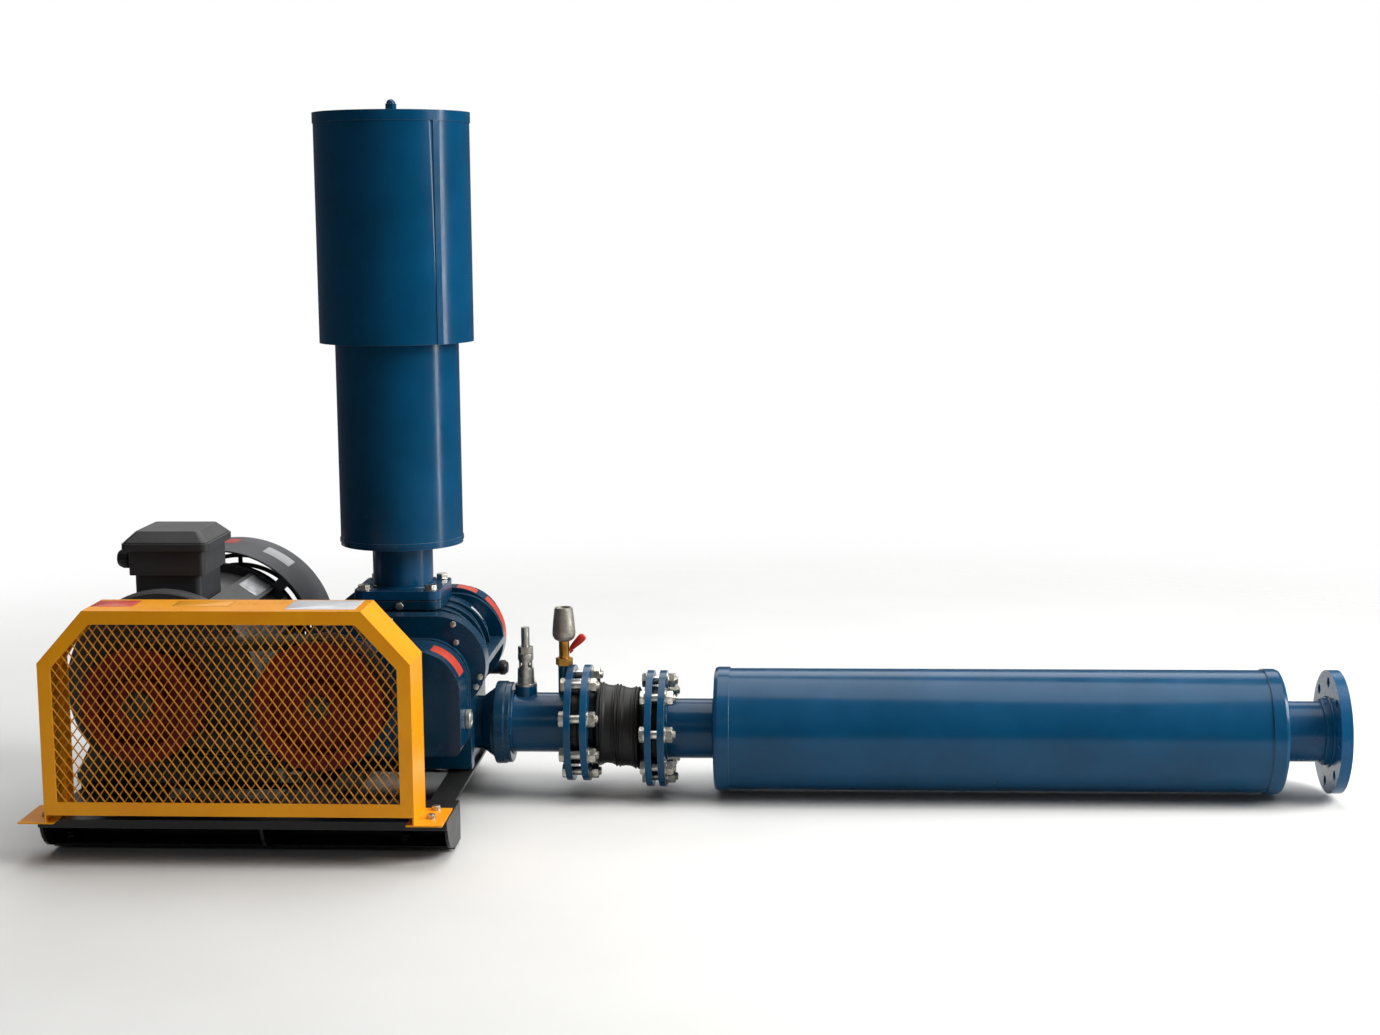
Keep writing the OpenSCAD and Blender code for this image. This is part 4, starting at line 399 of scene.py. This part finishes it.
def repeat(points, faces, places):
    """The same grid at many places. A place is (origin, axis, spin): the grid's own Z goes
    along the axis, turned by spin about it."""
    flat = points.reshape(-1, 3)
    out, quads = [], []
    for k, (origin, axis, spin) in enumerate(places):
        u, v = across(axis)
        u2 = u * math.cos(spin) + v * math.sin(spin)
        v2 = -u * math.sin(spin) + v * math.cos(spin)
        out.append(np.asarray(origin, float) + flat @ np.array([u2, v2, np.asarray(axis, float)]))
        quads.append(faces + k * len(flat))
    return np.concatenate(out), np.concatenate(quads)


def bolts(name, rows, places, material, slot, stands_for=()):
    """Fasteners turned from one list of rows, closed at both ends."""
    rows = [(rows[0][0], 0.0)] + list(rows) + [(rows[-1][0], 0.0)]
    points = turned(rows, (0, 0, 0), Z, COLS)
    faces = grid_faces(len(rows), COLS)
    return piece(name, *repeat(points, faces, places), material, slot=slot, stands_for=stands_for)


def mm(*values):
    """Millimetres to metres."""
    return np.array(values, float) * MM


def scaled(rows):
    """Rows of a turned piece, from millimetres to metres."""
    return [(h * MM, r * MM) for h, r in rows]


# Fasteners

def joint_bolts():
    """Bolts of the two pipe joints: head and washer on the left, washer, nut and thread on the
    right. Each joint has the place of its left face, its grip, its height and its first angle."""
    d, width, circle_r, count = 16, 24, 87.5, 8
    washer_r, left_washer, right_washer = 14.6, 2.4, 2.6
    nut_end, tip = 15.2, 20
    for tag, start, grip, z, turn in (("near_rubber_left", 488, 41, LINE_Z, 28),
                                      ("near_rubber_right", 632, 35, SILENCER_Z, -6)):
        head = hex_rows(width * MM, 0, 0.62 * d * MM)
        rows = [(-h, r) for h, r in head][::-1]
        rows += scaled([(-left_washer, washer_r), (0, washer_r), (0, d / 2), (grip, d / 2),
                        (grip, washer_r), (grip + right_washer, washer_r)])
        rows += hex_rows(width * MM, (grip + right_washer) * MM, (grip + nut_end) * MM, both=True)
        rows += thread_rows(7.9 * MM, (grip + nut_end) * MM, (grip + tip) * MM, 2 * MM, 1.0 * MM)
        places = []
        for i in range(count):
            a = math.radians(turn + i * 360 / count)
            place = mm(start, LINE_Y - circle_r * math.sin(a), z + circle_r * math.cos(a))
            places.append((place, X, a + i))
        bolts("joint_bolts_" + tag, rows, places, zinc_plate, "zinc",
              ("joint_bolts",) if tag == "near_rubber_left" else ())


def screws(name, d, width, places, washer=0.0, stands_for=()):
    """Zinc-plated hexagon heads, on a washer where its radius is given. The place is where the
    head or the washer sits."""
    t = 1.8 * MM if washer else 0.0
    rows = [(0, washer), (t, washer)] if washer else []
    rows += hex_rows(width, t, t + 0.65 * d)
    bolts(name, rows, places, zinc_plate, "zinc", stands_for)


def guard_bolts():
    """Four hexagon screws through the guard's tabs."""
    places = [(mm(x, y, 74.5), Z, 0.4 * i) for i, (x, y) in enumerate(
        [(-326.5, -305), (-326.5, -254), (309, -305), (309, -254)])]
    screws("guard_tab_screws", 8 * MM, 13 * MM, places, washer=8.4 * MM)


def intake_bolts():
    """Four hexagon bolts with washers on the intake flange."""
    half, top = 60, 385
    places = [(mm(BLOWER_X + sx * half, LINE_Y + sy * half, top), Z, 0.3 + sx + 2 * sy)
              for sx in (-1, 1) for sy in (-1, 1)]
    screws("intake_flange_screws", 12 * MM, 19 * MM, places, washer=12.6 * MM,
           stands_for=("intake_flange_bolts",))


def plate_ring(half_w, half_h):
    """Places round a long end plate, from its middle: one at the top, then three round each end
    on the arc half_h - 7.5, at the part's own angles."""
    r = half_h - 7.5
    ends = [(side * (half_w - half_h + r * math.cos(a)), r * math.sin(a))
            for side in (-1, 1) for a in np.radians((-29, -15, 67))]
    return [(0, r)] + ends


def casing_fasteners():
    """Hexagon screws round the blower's plates and the four bolts of its feet."""
    front = plate_ring(167, 87) + [(-116, 41), (116, 41)]
    rear = [(px, low * pz) for px, pz in plate_ring(165, 96) for low in (1, -1)]
    for name, d, width, y, axis, plate, stands_for in (
            ("front_plate_screws", 9, 10, -2, -Y, front, ("casing_bolts",)),
            ("rear_plate_screws", 10, 13, 275, Y, rear, ())):
        places = [(mm(BLOWER_X + px, y, SHAFT_Z + pz), axis, 0.7 * (BLOWER_X + px))
                  for px, pz in plate]
        screws(name, d * MM, width * MM, places, stands_for=stands_for)
    screws("neck_screw", 9 * MM, 13 * MM, [(mm(197.5, 53, 359), -Y, 0.2)])
    feet = [(mm(x, y, 84), Z, 0.3 * x) for x in (85, 309.5) for y in (40, 221)]
    screws("casing_foot_screws", 12 * MM, 19 * MM, feet, washer=12.4 * MM)


def motor_fasteners():
    """Bolts of the motor's feet and the skid's levelling bolts with their lock nuts."""
    half, foot_top = 139.5, 100
    feet = [(mm(MOTOR_X + side * half, y, foot_top), Z, 0.4 * y)
            for side in (-1, 1) for y in (-101, 140)]
    screws("motor_foot_screws", 12 * MM, 19 * MM, feet, washer=12.4 * MM,
           stands_for=("motor_foot_bolts",))
    head, gap, nut, tip, stud_r = 6, 11, 19, 23, 5.9
    rows = hex_rows(19 * MM, 0, head * MM, both=True) + scaled([(head, stud_r), (gap, stud_r)])
    rows += hex_rows(19 * MM, gap * MM, nut * MM, both=True)
    rows += thread_rows(stud_r * MM, nut * MM, tip * MM, 1.75 * MM, 0.9 * MM)
    places = [(mm(x, y, 0), Z, 0.3 * i) for i, (x, y) in enumerate(
        [(-320.5, -223), (252, -223), (-273.5, 280), (273.5, 280), (-273.5, 0), (273.5, 0)])]
    bolts("levelling_bolts_and_nuts", rows, places, black_plate, "skid_black", ("levelling_bolts",))


joint_bolts()
guard_bolts()
intake_bolts()
casing_fasteners()
motor_fasteners()


# Mesh of the belt guard

def guard_mesh():
    """Expanded metal: flat strands, each rolled about its own length so that one family catches
    the light. A line p + t d lies in the convex opening behind the guard's bars while
    m . (p + t d - a) >= 0 for the inward normal m of every edge that starts at a."""
    left, right, top, low, inset = -315.5, 289.5, GUARD_TOP_Z, 101.0, 14.0
    cut_x, cut_z = 77, 86
    shoulder = top - cut_z - 0.37 * inset
    run_in = cut_x + 0.46 * inset
    edge = np.array([(left + inset, low), (left + inset, shoulder), (left + run_in, top - inset),
                     (right - run_in, top - inset), (right - inset, shoulder),
                     (right - inset, low)])
    run = np.roll(edge, -1, axis=0) - edge
    inward = np.stack([run[:, 1], -run[:, 0]], -1)
    inward *= np.sign(((edge.mean(0) - edge) * inward).sum(-1))[:, None]
    pitch, rise, foot_z, shortest, thick = 16.0, 22.4, 109.0, 12, 1.1
    slope = math.atan2(rise, pitch)
    reach = (top - 72) * pitch / rise
    feet = np.arange(left - reach, right + reach, pitch)
    feet = np.stack([feet, np.full(len(feet), foot_z)], -1)
    corners = []
    for lean, y, wide, roll in ((-1, -345.0, 2.2, 0.6), (1, -344.1, 1.8, 0.5)):
        d = np.array([math.cos(slope) * lean, math.sin(slope)])
        rate = inward @ d
        t = -((feet[:, None] - edge[None]) * inward[None]).sum(-1) / rate
        t0 = np.where(rate > 0, t, -np.inf).max(1)
        t1 = np.where(rate < 0, t, np.inf).min(1)
        keep = t1 - t0 > shortest
        n = -lean * np.array([d[1], 0, -d[0]])
        wide_way = (math.cos(roll) * n + math.sin(roll) * Y) * wide / 2
        thick_way = (math.sin(roll) * n - math.cos(roll) * Y) * thick / 2
        ring = np.array([wide_way + thick_way, wide_way - thick_way,
                         -wide_way - thick_way, thick_way - wide_way])
        ends = feet[keep, None] + np.stack([t0, t1], -1)[keep][:, :, None] * d
        ends = np.stack([ends[..., 0], np.full(ends.shape[:2], y), ends[..., 1]], -1)
        corners.append((ends[:, :, None] + ring[None, None]).reshape(-1, 8, 3))
    corners = np.concatenate(corners)
    box = np.array([(0, 1, 5, 4), (1, 2, 6, 5), (2, 3, 7, 6), (3, 0, 4, 7), (3, 2, 1, 0),
                    (4, 5, 6, 7)])
    faces = (np.arange(len(corners))[:, None, None] * 8 + box).reshape(-1, 4)
    piece("guard_mesh_strands", corners * MM, faces, yellow_mesh, slot="guard_yellow", smooth=False,
          stands_for=("guard_mesh",))


guard_mesh()


# Fittings

def lathe(name, rows, origin, axis, material, slot, cols=72, stands_for=()):
    """One turned piece, closed on its axis at both ends."""
    rows = [(rows[0][0], 0.0)] + list(rows) + [(rows[-1][0], 0.0)]
    points = turned(rows, origin, axis, cols)
    piece(name, points, grid_faces(len(rows), cols), material, slot=slot, stands_for=stands_for)


def ribbed(radius, ribs, deep, cols=72):
    """Radius over the angle, with round ribs standing out of it."""
    a = np.arange(cols) * 2 * PI / cols
    return radius + deep * np.abs(np.cos(ribs * a / 2))


def oil_fittings():
    """Ribbed filler cap, drain plug, and two sight glasses: a knurled ring round a clear lens."""
    grip = ribbed(13.3, 18, 0.9)
    rows = [(0, 13.0), (0.6, 13.6), (1.4, grip), (9.5, grip), (11.2, 12.9), (12.2, 11.4),
            (14.6, 10.6), (15.7, 8.6), (16.2, 5.0)]
    lathe("oil_filler_cap", scaled(rows), mm(339, 295, 196), X, black_nylon, "rubber_black",
          stands_for=("oil_plugs",))
    drain = hex_rows(17 * MM, 1.5 * MM, 8 * MM)
    bolts("oil_drain_plug", [(0, 9.4 * MM), (1.5 * MM, 9.4 * MM)] + drain,
          [(mm(305.5, -44, 127), -Z, 0.2)], turned_brass, "brass")
    for tag, origin, axis in (("front", mm(328.5, -46, 178), X),
                              ("rear", mm(BLOWER_X, 351, 218), Y)):
        knurl = ribbed(16.5, 36, 0.5, 144)
        rim = scaled([(0, 15.9), (0.8, knurl), (7.6, knurl), (9.0, 15.6), (9.0, 12.2),
                      (7.0, 11.3), (5.6, 11.3)])
        lathe("sight_glass_rim_" + tag, rim, origin, axis, turned_steel, "bare_steel", cols=144,
              stands_for=("oil_sight_glasses",) if tag == "front" else ())
        lens = scaled([(5.0, 11.6), (7.2, 11.4), (7.9, 9.5), (8.3, 6.5), (8.5, 3.2)])
        lathe("sight_glass_lens_" + tag, lens, origin, axis, clear_glass, "bare_steel")


def cable_gland():
    """Nylon gland: hexagon, ribbed dome nut and an open bore, one closed outline turned round."""
    cols = COLS * 4
    grip = ribbed(16.2, 20, 0.9, cols)
    a = np.arange(cols) * 2 * PI / cols
    hexa = 14 / np.cos((a + PI / 6) % (PI / 3) - PI / 6)
    rows = [(0, 7), (0, hexa), (8.4, hexa), (9, 15.2), (9.8, 15.2), (10.4, grip), (19, grip),
            (22, 15.8), (25.5, 14.3), (28, 12.2), (29, 10.4), (28.6, 9.0), (27.4, 8.6), (26.8, 7)]
    points = turned(scaled(rows), mm(-229, -92, 468), -X, cols)
    piece("cable_gland_dome", points, grid_faces(len(rows), cols, wrap_rows=True), black_nylon,
          slot="skid_black", stands_for=("cable_gland",))


def relief_trim():
    """Thread and knurled ring over the relief valve's solid. The ring's radius is 13.75 mm and
    0.45 mm more where two families of slanted grooves leave it: 0.45 |cos p cos q|."""
    relief_axis = mm(RELIEF_X, LINE_Y, 0)
    thread = thread_rows(7.85 * MM, 271 * MM, 305.8 * MM, 2.4 * MM, 0.5 * MM)
    bolts("relief_valve_thread", thread, [(relief_axis, Z, 0.0)], turned_steel, "bare_steel")
    cols, grooves, slant = 144, 18, 1.5
    turn = np.arange(cols) * 2 * PI / cols
    rows = [(246.2, 13.4)]
    for h in np.linspace(247, 257.2, 18):
        crossed = np.cos(grooves * turn + h * slant) * np.cos(grooves * turn - h * slant)
        rows.append((h, 13.75 + 0.45 * np.abs(crossed)))
    rows.append((257.8, 13.4))
    lathe("relief_valve_knurl", scaled(rows), relief_axis, Z, turned_steel, "bare_steel", cols)


def lever_sleeve():
    """Red sleeve of the vent's lever: an oval of half-widths (wide, deep) carried along the bent
    lever, fuller towards its tip: root + h * along + wide cos b * Y + deep sin b * flat."""
    along, flat = (X + Z) / math.sqrt(2), (X - Z) / math.sqrt(2)
    root = mm(492.56, LINE_Y, 265.94)
    rows = [(2, 0.1, 0.1), (2.2, 4.6, 3.2), (3.4, 5.4, 4.4), (10, 5.8, 5.6), (20, 6.6, 7.0),
            (29, 7.2, 7.6), (33.5, 6.6, 6.8), (35.2, 5.0, 5.0), (35.8, 0.1, 0.1)]
    cols = 32
    b = (np.arange(cols) * 2 * PI / cols)[:, None]
    points = np.array([root + MM * (h * along + wide * np.cos(b) * Y + deep * np.sin(b) * flat)
                       for h, wide, deep in rows])
    points[0], points[-1] = points[0].mean(0), points[-1].mean(0)
    piece("vent_lever_sleeve", points, grid_faces(len(rows), cols), red_vinyl, "vent_lever",
          "lever_red")


def relief_spring():
    """Seven-turn coil in the relief valve: a wire of radius 1 mm carried along a helix of radius
    5.6 mm, with closed ends."""
    low, high, wire, coil, turns, lift, sides = 206.3, 239.7, 1.0, 5.6, 7, 5, 12
    along = np.linspace(0, 1, turns * 24 + 1)[:, None]
    thick = wire * np.ones_like(along)
    # One more ring of no size at each end closes the wire.
    along = np.vstack([along[:1], along, along[-1:]])
    thick = np.vstack([[[0]], thick, [[0]]])
    b = np.arange(sides) * 2 * PI / sides
    turn, r = 2 * PI * turns * along, coil + thick * np.cos(b)
    height = low + wire + (high - low - 2 * wire) * along + thick * np.sin(b)
    points = MM * np.stack([RELIEF_X + r * np.cos(turn), LINE_Y + r * np.sin(turn), height], -1)
    made = piece("relief_spring_coil", points, grid_faces(len(along), sides), zinc_plate,
                 slot="zinc", stands_for=("relief_valve_spring",))
    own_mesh(made)


oil_fittings()
cable_gland()
relief_trim()
lever_sleeve()
relief_spring()


# Welds

def weld_ring(origin, axis, radius, size, seed):
    """A ring with a rippled round section: origin + (radius + s cos b) * ring(a) + s sin b * axis,
    where s swells and falls once per ripple and drifts slowly round the ring."""
    cols, sides, ripple = 240, 12, 3.2 * MM
    rng = np.random.default_rng(seed)
    a = np.arange(cols) * 2 * PI / cols
    ripples = int(2 * PI * radius / ripple)
    drift = sum(rng.uniform(0.02, 0.06) * np.sin(k * a + rng.uniform(0, 6)) for k in (2, 3, 5))
    s = size * (0.92 + 0.13 * np.abs(np.sin(ripples * a / 2)) + drift)
    u, v = across(axis)
    ring = np.cos(a)[:, None] * u + np.sin(a)[:, None] * v
    b = np.arange(sides) * 2 * PI / sides
    out = radius + s[:, None] * np.cos(b)
    return (np.asarray(origin, float) + out[:, :, None] * ring[:, None, :]
            + (s[:, None] * np.sin(b))[:, :, None] * np.asarray(axis, float))


def welds():
    """Fillet welds round the pipework: name, place along the line's or the throat's axis, the
    axis, radius and size."""
    line, silencer, throat = (X, 0, LINE_Z), (X, 0, SILENCER_Z), (Z, BLOWER_X, 0)
    rings = [
        ("weld_pipe_union", 387.5, line, 55, 3.4),
        ("weld_pipe_flange", 488, line, 55, 3.6),
        ("weld_silencer_flange", 667, silencer, 55, 3.6),
        ("weld_silencer_inlet", 754, silencer, 55, 3.6),
        ("weld_silencer_outlet", 1762, silencer, 55, 3.6),
        ("weld_end_collar", 1837, silencer, 55.5, 3.0),
        ("weld_end_flange", 1849, silencer, 61, 3.0),
        ("weld_throat_flange", 385, throat, 55, 3.4),
        ("weld_throat_drum", 462, throat, 55, 3.4),
    ]
    first_seed = 11
    for i, (name, place, (axis, x, z), radius, size) in enumerate(rings):
        origin = mm(x, LINE_Y, z) + place * MM * axis
        points = weld_ring(origin, axis, radius * MM, size * MM, first_seed + i)
        faces = grid_faces(points.shape[0], points.shape[1], wrap_rows=True)
        piece(name, points, faces, blue_sheet, slot="machine_blue")


welds()


# Rubber joint

def rubber_bellows():
    """Rubber joint: a tube whose centre drops from one pipe to the other along an S curve
    z = z0 - drop * (3t^2 - 2t^3), with a radius that grows from neck to body and carries
    moulded ribs; the section is closed by the bore."""
    x0, x1 = 509.4, 652.0  # outer faces of the two rubber collars
    b_x1, c_x0 = 529.0, 632.0  # inner faces of the flanges
    bore_r, face_r, neck_r, body_r, cols = 50.6, 75.5, 64.0, 72.6, 96
    span = c_x0 - b_x1
    mid = (b_x1 + c_x0) / 2

    def drop(x):
        t = np.clip((x - b_x1) / span, 0, 1)
        return (LINE_Z - SILENCER_Z) * t * t * (3 - 2 * t)

    outline = [(x0, bore_r), (x0, 75.0), (x0 + 1.5, face_r), (b_x1 - 12.2, face_r),
               (b_x1 - 12.0, neck_r), (b_x1 + 1, neck_r), (b_x1 + 7, 64.5)]
    half = span / 2 - 9
    s = np.linspace(-half, half, 121)
    body = body_r - 7.5 * np.exp(-((half - np.abs(s)) / 3.2) ** 2 * 0.9)
    for rib in (-36, -30, -4, 2, 30, 36):
        body = body + 2.4 * np.exp(-((s - rib) / 1.6) ** 4)
    body = body - 1.6 * np.exp(-((np.abs(s) - 17) / 7.5) ** 8)
    outline += [(mid + p, r) for p, r in zip(s, body)]
    outline += [(c_x0 - 7, 64.5), (c_x0 - 1, neck_r), (c_x0 + 12.0, neck_r),
                (c_x0 + 12.2, face_r), (x1 - 1.5, face_r), (x1, 75.0), (x1, bore_r)]
    outline += [(x, bore_r) for x in np.linspace(x1, x0, 18)[1:-1]]
    outline = np.array(outline)
    a = np.arange(cols) * 2 * PI / cols
    x = np.broadcast_to(outline[:, :1], (len(outline), cols))
    y = outline[:, 1:] * np.cos(a)
    z = outline[:, 1:] * np.sin(a) - drop(outline[:, :1])
    points = np.stack([x, y, z], -1) * MM + mm(0, LINE_Y, LINE_Z)
    piece("rubber_bellows", points, grid_faces(len(outline), cols, wrap_rows=True), neoprene,
          slot="rubber_black", stands_for=("rubber_joint",))


rubber_bellows()


# Stickers and plates, all blank

def curved_patch(name, centre, radius, degrees, along, material):
    """A thin sticker on something round along Y, with centre (x, z): the angle, from X towards
    Z, and the length run over a rounded rectangle; the same grid just inside closes it."""
    rows, cols = 13, 41
    corner, thick, sunk = 2 * MM, 0.25 * MM, 0.2 * MM
    angles = np.radians(degrees)
    s = np.linspace(-1, 1, cols)
    t = np.linspace(-1, 1, rows)
    wide = (angles[1] - angles[0]) / 2 * radius
    tall = (along[1] - along[0]) / 2
    # In the corner the long edge follows a circle: inset = c - sqrt(c^2 - past^2).
    past = np.abs(s) * wide - wide + corner
    arc = corner - np.sqrt(np.maximum(0, corner ** 2 - past ** 2))
    inset = np.where(past > 0, arc, 0)
    a = (angles[0] + angles[1]) / 2 + s * (angles[1] - angles[0]) / 2
    h = (along[0] + along[1]) / 2 + t[:, None] * (tall - inset[None, :])
    ring = np.cos(a)[:, None] * X + np.sin(a)[:, None] * Z

    def layer(r):
        return (np.array([centre[0], 0, centre[1]]) + h[:, :, None] * Y
                + r * np.broadcast_to(ring, (rows, cols, 3)))

    top, low = layer(radius + thick), layer(radius - sunk)
    quads = [grid_faces(rows, cols, wrap_cols=False)]
    n = rows * cols
    quads.append(quads[0][:, ::-1] + n)
    rim = np.concatenate([np.arange(cols), np.arange(1, rows) * cols + cols - 1,
                          (rows - 1) * cols + np.arange(cols - 2, -1, -1),
                          np.arange(rows - 2, 0, -1) * cols])
    nxt = np.roll(rim, -1)
    quads.append(np.stack([rim, rim + n, nxt + n, nxt], -1))
    return piece(name, np.concatenate([top.reshape(-1, 3), low.reshape(-1, 3)]),
                 np.concatenate(quads), material)


def flat_patch(name, centre, right, up, width, height, material, corner=2.0, thick=0.3):
    """A thin plate lying on a flat face, sizes in mm: a rounded rectangle of boundary points,
    drawn in to its middle, raised by its thickness."""
    out = np.cross(right, up)
    cols = 64
    a = np.arange(cols) * 2 * PI / cols
    x = np.sign(np.cos(a)) * (width / 2 - corner) + corner * np.cos(a)
    y = np.sign(np.sin(a)) * (height / 2 - corner) + corner * np.sin(a)
    rows, sunk, soft_edge = [], 0.2, 0.12
    for share, lift in ((0.0, thick), (1.0 - 0.5 / width, thick), (1.0, thick - soft_edge),
                        (1.0, -sunk), (0.0, -sunk)):
        rows.append(np.asarray(centre, float) + MM * (share * x[:, None] * right
                                                      + share * y[:, None] * up + lift * out))
    return piece(name, np.array(rows), grid_faces(len(rows), cols), material)


def patches():
    """The photograph's stickers, all left blank: on the guard's top, the cowl, the front cover's
    shoulder, the rear plate's rim and a casing rib."""
    for name, x, y, z, width, height, material, corner in (
            ("guard_red_sticker", -203, -281.5, GUARD_TOP_Z, 70, 53, red_sticker, 1.0),
            ("guard_yellow_sticker", -58.5, -280, GUARD_TOP_Z, 91, 44, yellow_sticker, 1.5),
            ("guard_sticker_border", -58.5, -280, GUARD_TOP_Z - 0.1, 93, 46, brown_border, 2.0),
            ("guard_silver_sticker", 142, -290, GUARD_TOP_Z, 114, 80, silver_sticker, 1.0)):
        flat_patch(name, mm(x, y, z), X, Y, width, height, material, corner=corner)
    cowl, cowl_r = (MOTOR_X, SHAFT_Z), 179
    cover, cover_r = (253.5, 235), 75
    plate_end, plate_r = (259.5, SHAFT_Z), 96
    rib, rib_r = (246.5, SHAFT_Z), 83.8
    for name, centre, radius, degrees, along, material in (
            ("cowl_silver_sticker", cowl, cowl_r, (50, 68), (222, 274), silver_sticker),
            ("cowl_red_sticker", cowl, cowl_r, (86, 95), (241, 289), red_sticker),
            ("cover_red_sticker", cover, cover_r, (20, 74), (-85, -40), red_sticker),
            ("rim_red_sticker_high", plate_end, plate_r, (62, 85), (240, 272), red_sticker),
            ("rim_red_sticker_low", plate_end, plate_r, (-2, 50), (240, 272), red_sticker),
            ("casing_silver_sticker", rib, rib_r, (28, 50), (182, 216), silver_sticker)):
        curved_patch(name, mm(*centre), radius * MM, degrees, mm(*along), material)


patches()


def nameplate():
    """Blank plate on a cast pad of the motor's barrel, with a rivet in each corner."""
    tilt, pad_r, thick, rivet_r = math.radians(56), 148, 0.8, 2.2
    out = math.cos(tilt) * X + math.sin(tilt) * Z
    right = math.sin(tilt) * X - math.cos(tilt) * Z
    middle = mm(MOTOR_X, 101, SHAFT_Z) + pad_r * MM * out
    flat_patch("nameplate", middle, right, Y, 38, 104, blank_plate, corner=2, thick=thick)
    rivets = [(middle + thick * MM * out + MM * (sx * 16 * right + sy * 49 * Y), out, 0.0)
              for sx in (-1, 1) for sy in (-1, 1)]
    dome = [(1.3 * math.sin(t), rivet_r * math.cos(t)) for t in np.linspace(0, 1.4, 5)]
    bolts("nameplate_rivets", scaled([(-0.4, rivet_r)] + dome), rivets, turned_steel,
          "bare_steel")


nameplate()


# Camera and studio

def camera():
    """Camera at the photograph's place. Its focal length is in pixels of the picture's width."""
    yaw, pitch, roll = np.radians((-3.09, 8.11, -0.43))
    focal_px, width_px, film = 2112.8, 1380, 36.0
    place = (0.9134, -3.61216, 1.04092)
    ahead = Vector((math.sin(yaw) * math.cos(pitch), math.cos(yaw) * math.cos(pitch),
                    -math.sin(pitch)))
    right = Vector((math.cos(yaw), -math.sin(yaw), 0))
    up = right.cross(ahead)
    side = right * math.cos(roll) + up * math.sin(roll)
    top = -right * math.sin(roll) + up * math.cos(roll)
    lens = bpy.data.cameras.new("camera")
    lens.sensor_width, lens.lens = film, focal_px * film / width_px
    lens.clip_end = 60
    eye = bpy.data.objects.new("camera", lens)
    turned_to = Matrix((side, top, -ahead)).transposed().to_4x4()
    eye.matrix_world = Matrix.Translation(place) @ turned_to
    bpy.context.scene.collection.objects.link(eye)
    bpy.context.scene.camera = eye


def ground():
    """Pale flat floor that turns to nothing away from the part. The gradient is 1 at the middle
    and falls to 0 at reach, and its share from 0.1 to 0.6 runs the floor from clear to solid."""
    middle_x, reach = 0.75, 3.7
    m = blank("studio_floor")
    where = add(m, "TexCoord").outputs["Object"]
    speck = noise(m, where, 1000 / 3, 3.0)
    tone = tones(m, speck, "#d6d6d4", "#dadad8", 0.3, 0.7)
    paint = add(m, "BsdfPrincipled", {"Base Color": tone, "Roughness": 0.85})
    shrunk = add(m, "Mapping", {"Vector": where, "Scale": (1 / reach,) * 3,
                                "Location": (-middle_x / reach, 0, 0)})
    near = add(m, "TexGradient", {"Vector": shrunk.outputs["Vector"]}, gradient_type="SPHERICAL")
    solid = add(m, "MapRange", {"Value": near.outputs["Fac"], "From Min": 0.1, "From Max": 0.6},
                interpolation_type="SMOOTHSTEP")
    clear = add(m, "BsdfTransparent")
    mixed = add(m, "MixShader", {"Fac": solid.outputs["Result"], 1: clear.outputs["BSDF"],
                                 2: paint.outputs["BSDF"]})
    add(m, "OutputMaterial", {"Surface": mixed.outputs["Shader"]})
    edge = np.array([-reach, reach])
    points = np.stack(np.broadcast_arrays(edge[None, :] + middle_x, edge[:, None],
                                          np.zeros((2, 2))), -1)
    mesh = bpy.data.meshes.new("floor")
    mesh.from_pydata(points.reshape(-1, 3).tolist(), [], [(0, 1, 3, 2)])
    mesh.materials.append(m)
    floor = bpy.data.objects.new("floor", mesh)
    bpy.context.scene.collection.objects.link(floor)


def lights():
    """Large soft lights: place, what it is aimed at, size, power and colour."""
    warm = (1.0, 0.99, 0.97)
    for name, place, aim, size, power, colour in (
            ("strip", (4.3, -0.1, 1.5), (0.2, 0.1, 0.9), (0.4, 3.4), 75, warm),
            ("side", (4.2, -1.0, 2.7), (0.2, 0, 0.4), (1.8, 2.4), 175, warm),
            ("front", (-0.4, -4.6, 2.6), (0.5, 0, 0.3), (1.6, 1.0), 5, (0.96, 0.98, 1.0)),
            ("top", (0.9, 0.7, 4.2), (0.6, 0.2, 0), (5.0, 3.2), 165, (1, 1, 1)),
            ("back", (0.4, 4.4, 3.4), (0.3, 0.2, 0.4), (6.0, 2.0), 90, (1, 1, 1))):
        lamp = bpy.data.lights.new(name, "AREA")
        lamp.shape, lamp.energy, lamp.color = "RECTANGLE", power, colour
        lamp.size, lamp.size_y = size
        made = bpy.data.objects.new(name, lamp)
        made.location = place
        made.rotation_euler = (Vector(aim) - Vector(place)).to_track_quat("-Z", "Y").to_euler()
        bpy.context.scene.collection.objects.link(made)


def surround():
    """A world that is white to rays straight from the camera, and dim to all that light the
    part."""
    world = bpy.data.worlds.new("studio")
    world.use_nodes = True
    nodes, links = world.node_tree.nodes, world.node_tree.links
    dim, backdrop = nodes["Background"], nodes.new("ShaderNodeBackground")
    both = nodes.new("ShaderNodeMixShader")
    for shader, colour, strength in ((dim, (0.9, 0.93, 1.0, 1), 0.09),
                                     (backdrop, (1, 1, 1, 1), 1.0)):
        shader.inputs["Color"].default_value = colour
        shader.inputs["Strength"].default_value = strength
    links.new(nodes.new("ShaderNodeLightPath").outputs["Is Camera Ray"], both.inputs["Fac"])
    links.new(dim.outputs["Background"], both.inputs[1])
    links.new(backdrop.outputs["Background"], both.inputs[2])
    links.new(both.outputs["Shader"], nodes["World Output"].inputs["Surface"])
    bpy.context.scene.world = world
    bpy.context.scene.view_settings.view_transform = "Standard"


camera()
ground()
lights()
surround()
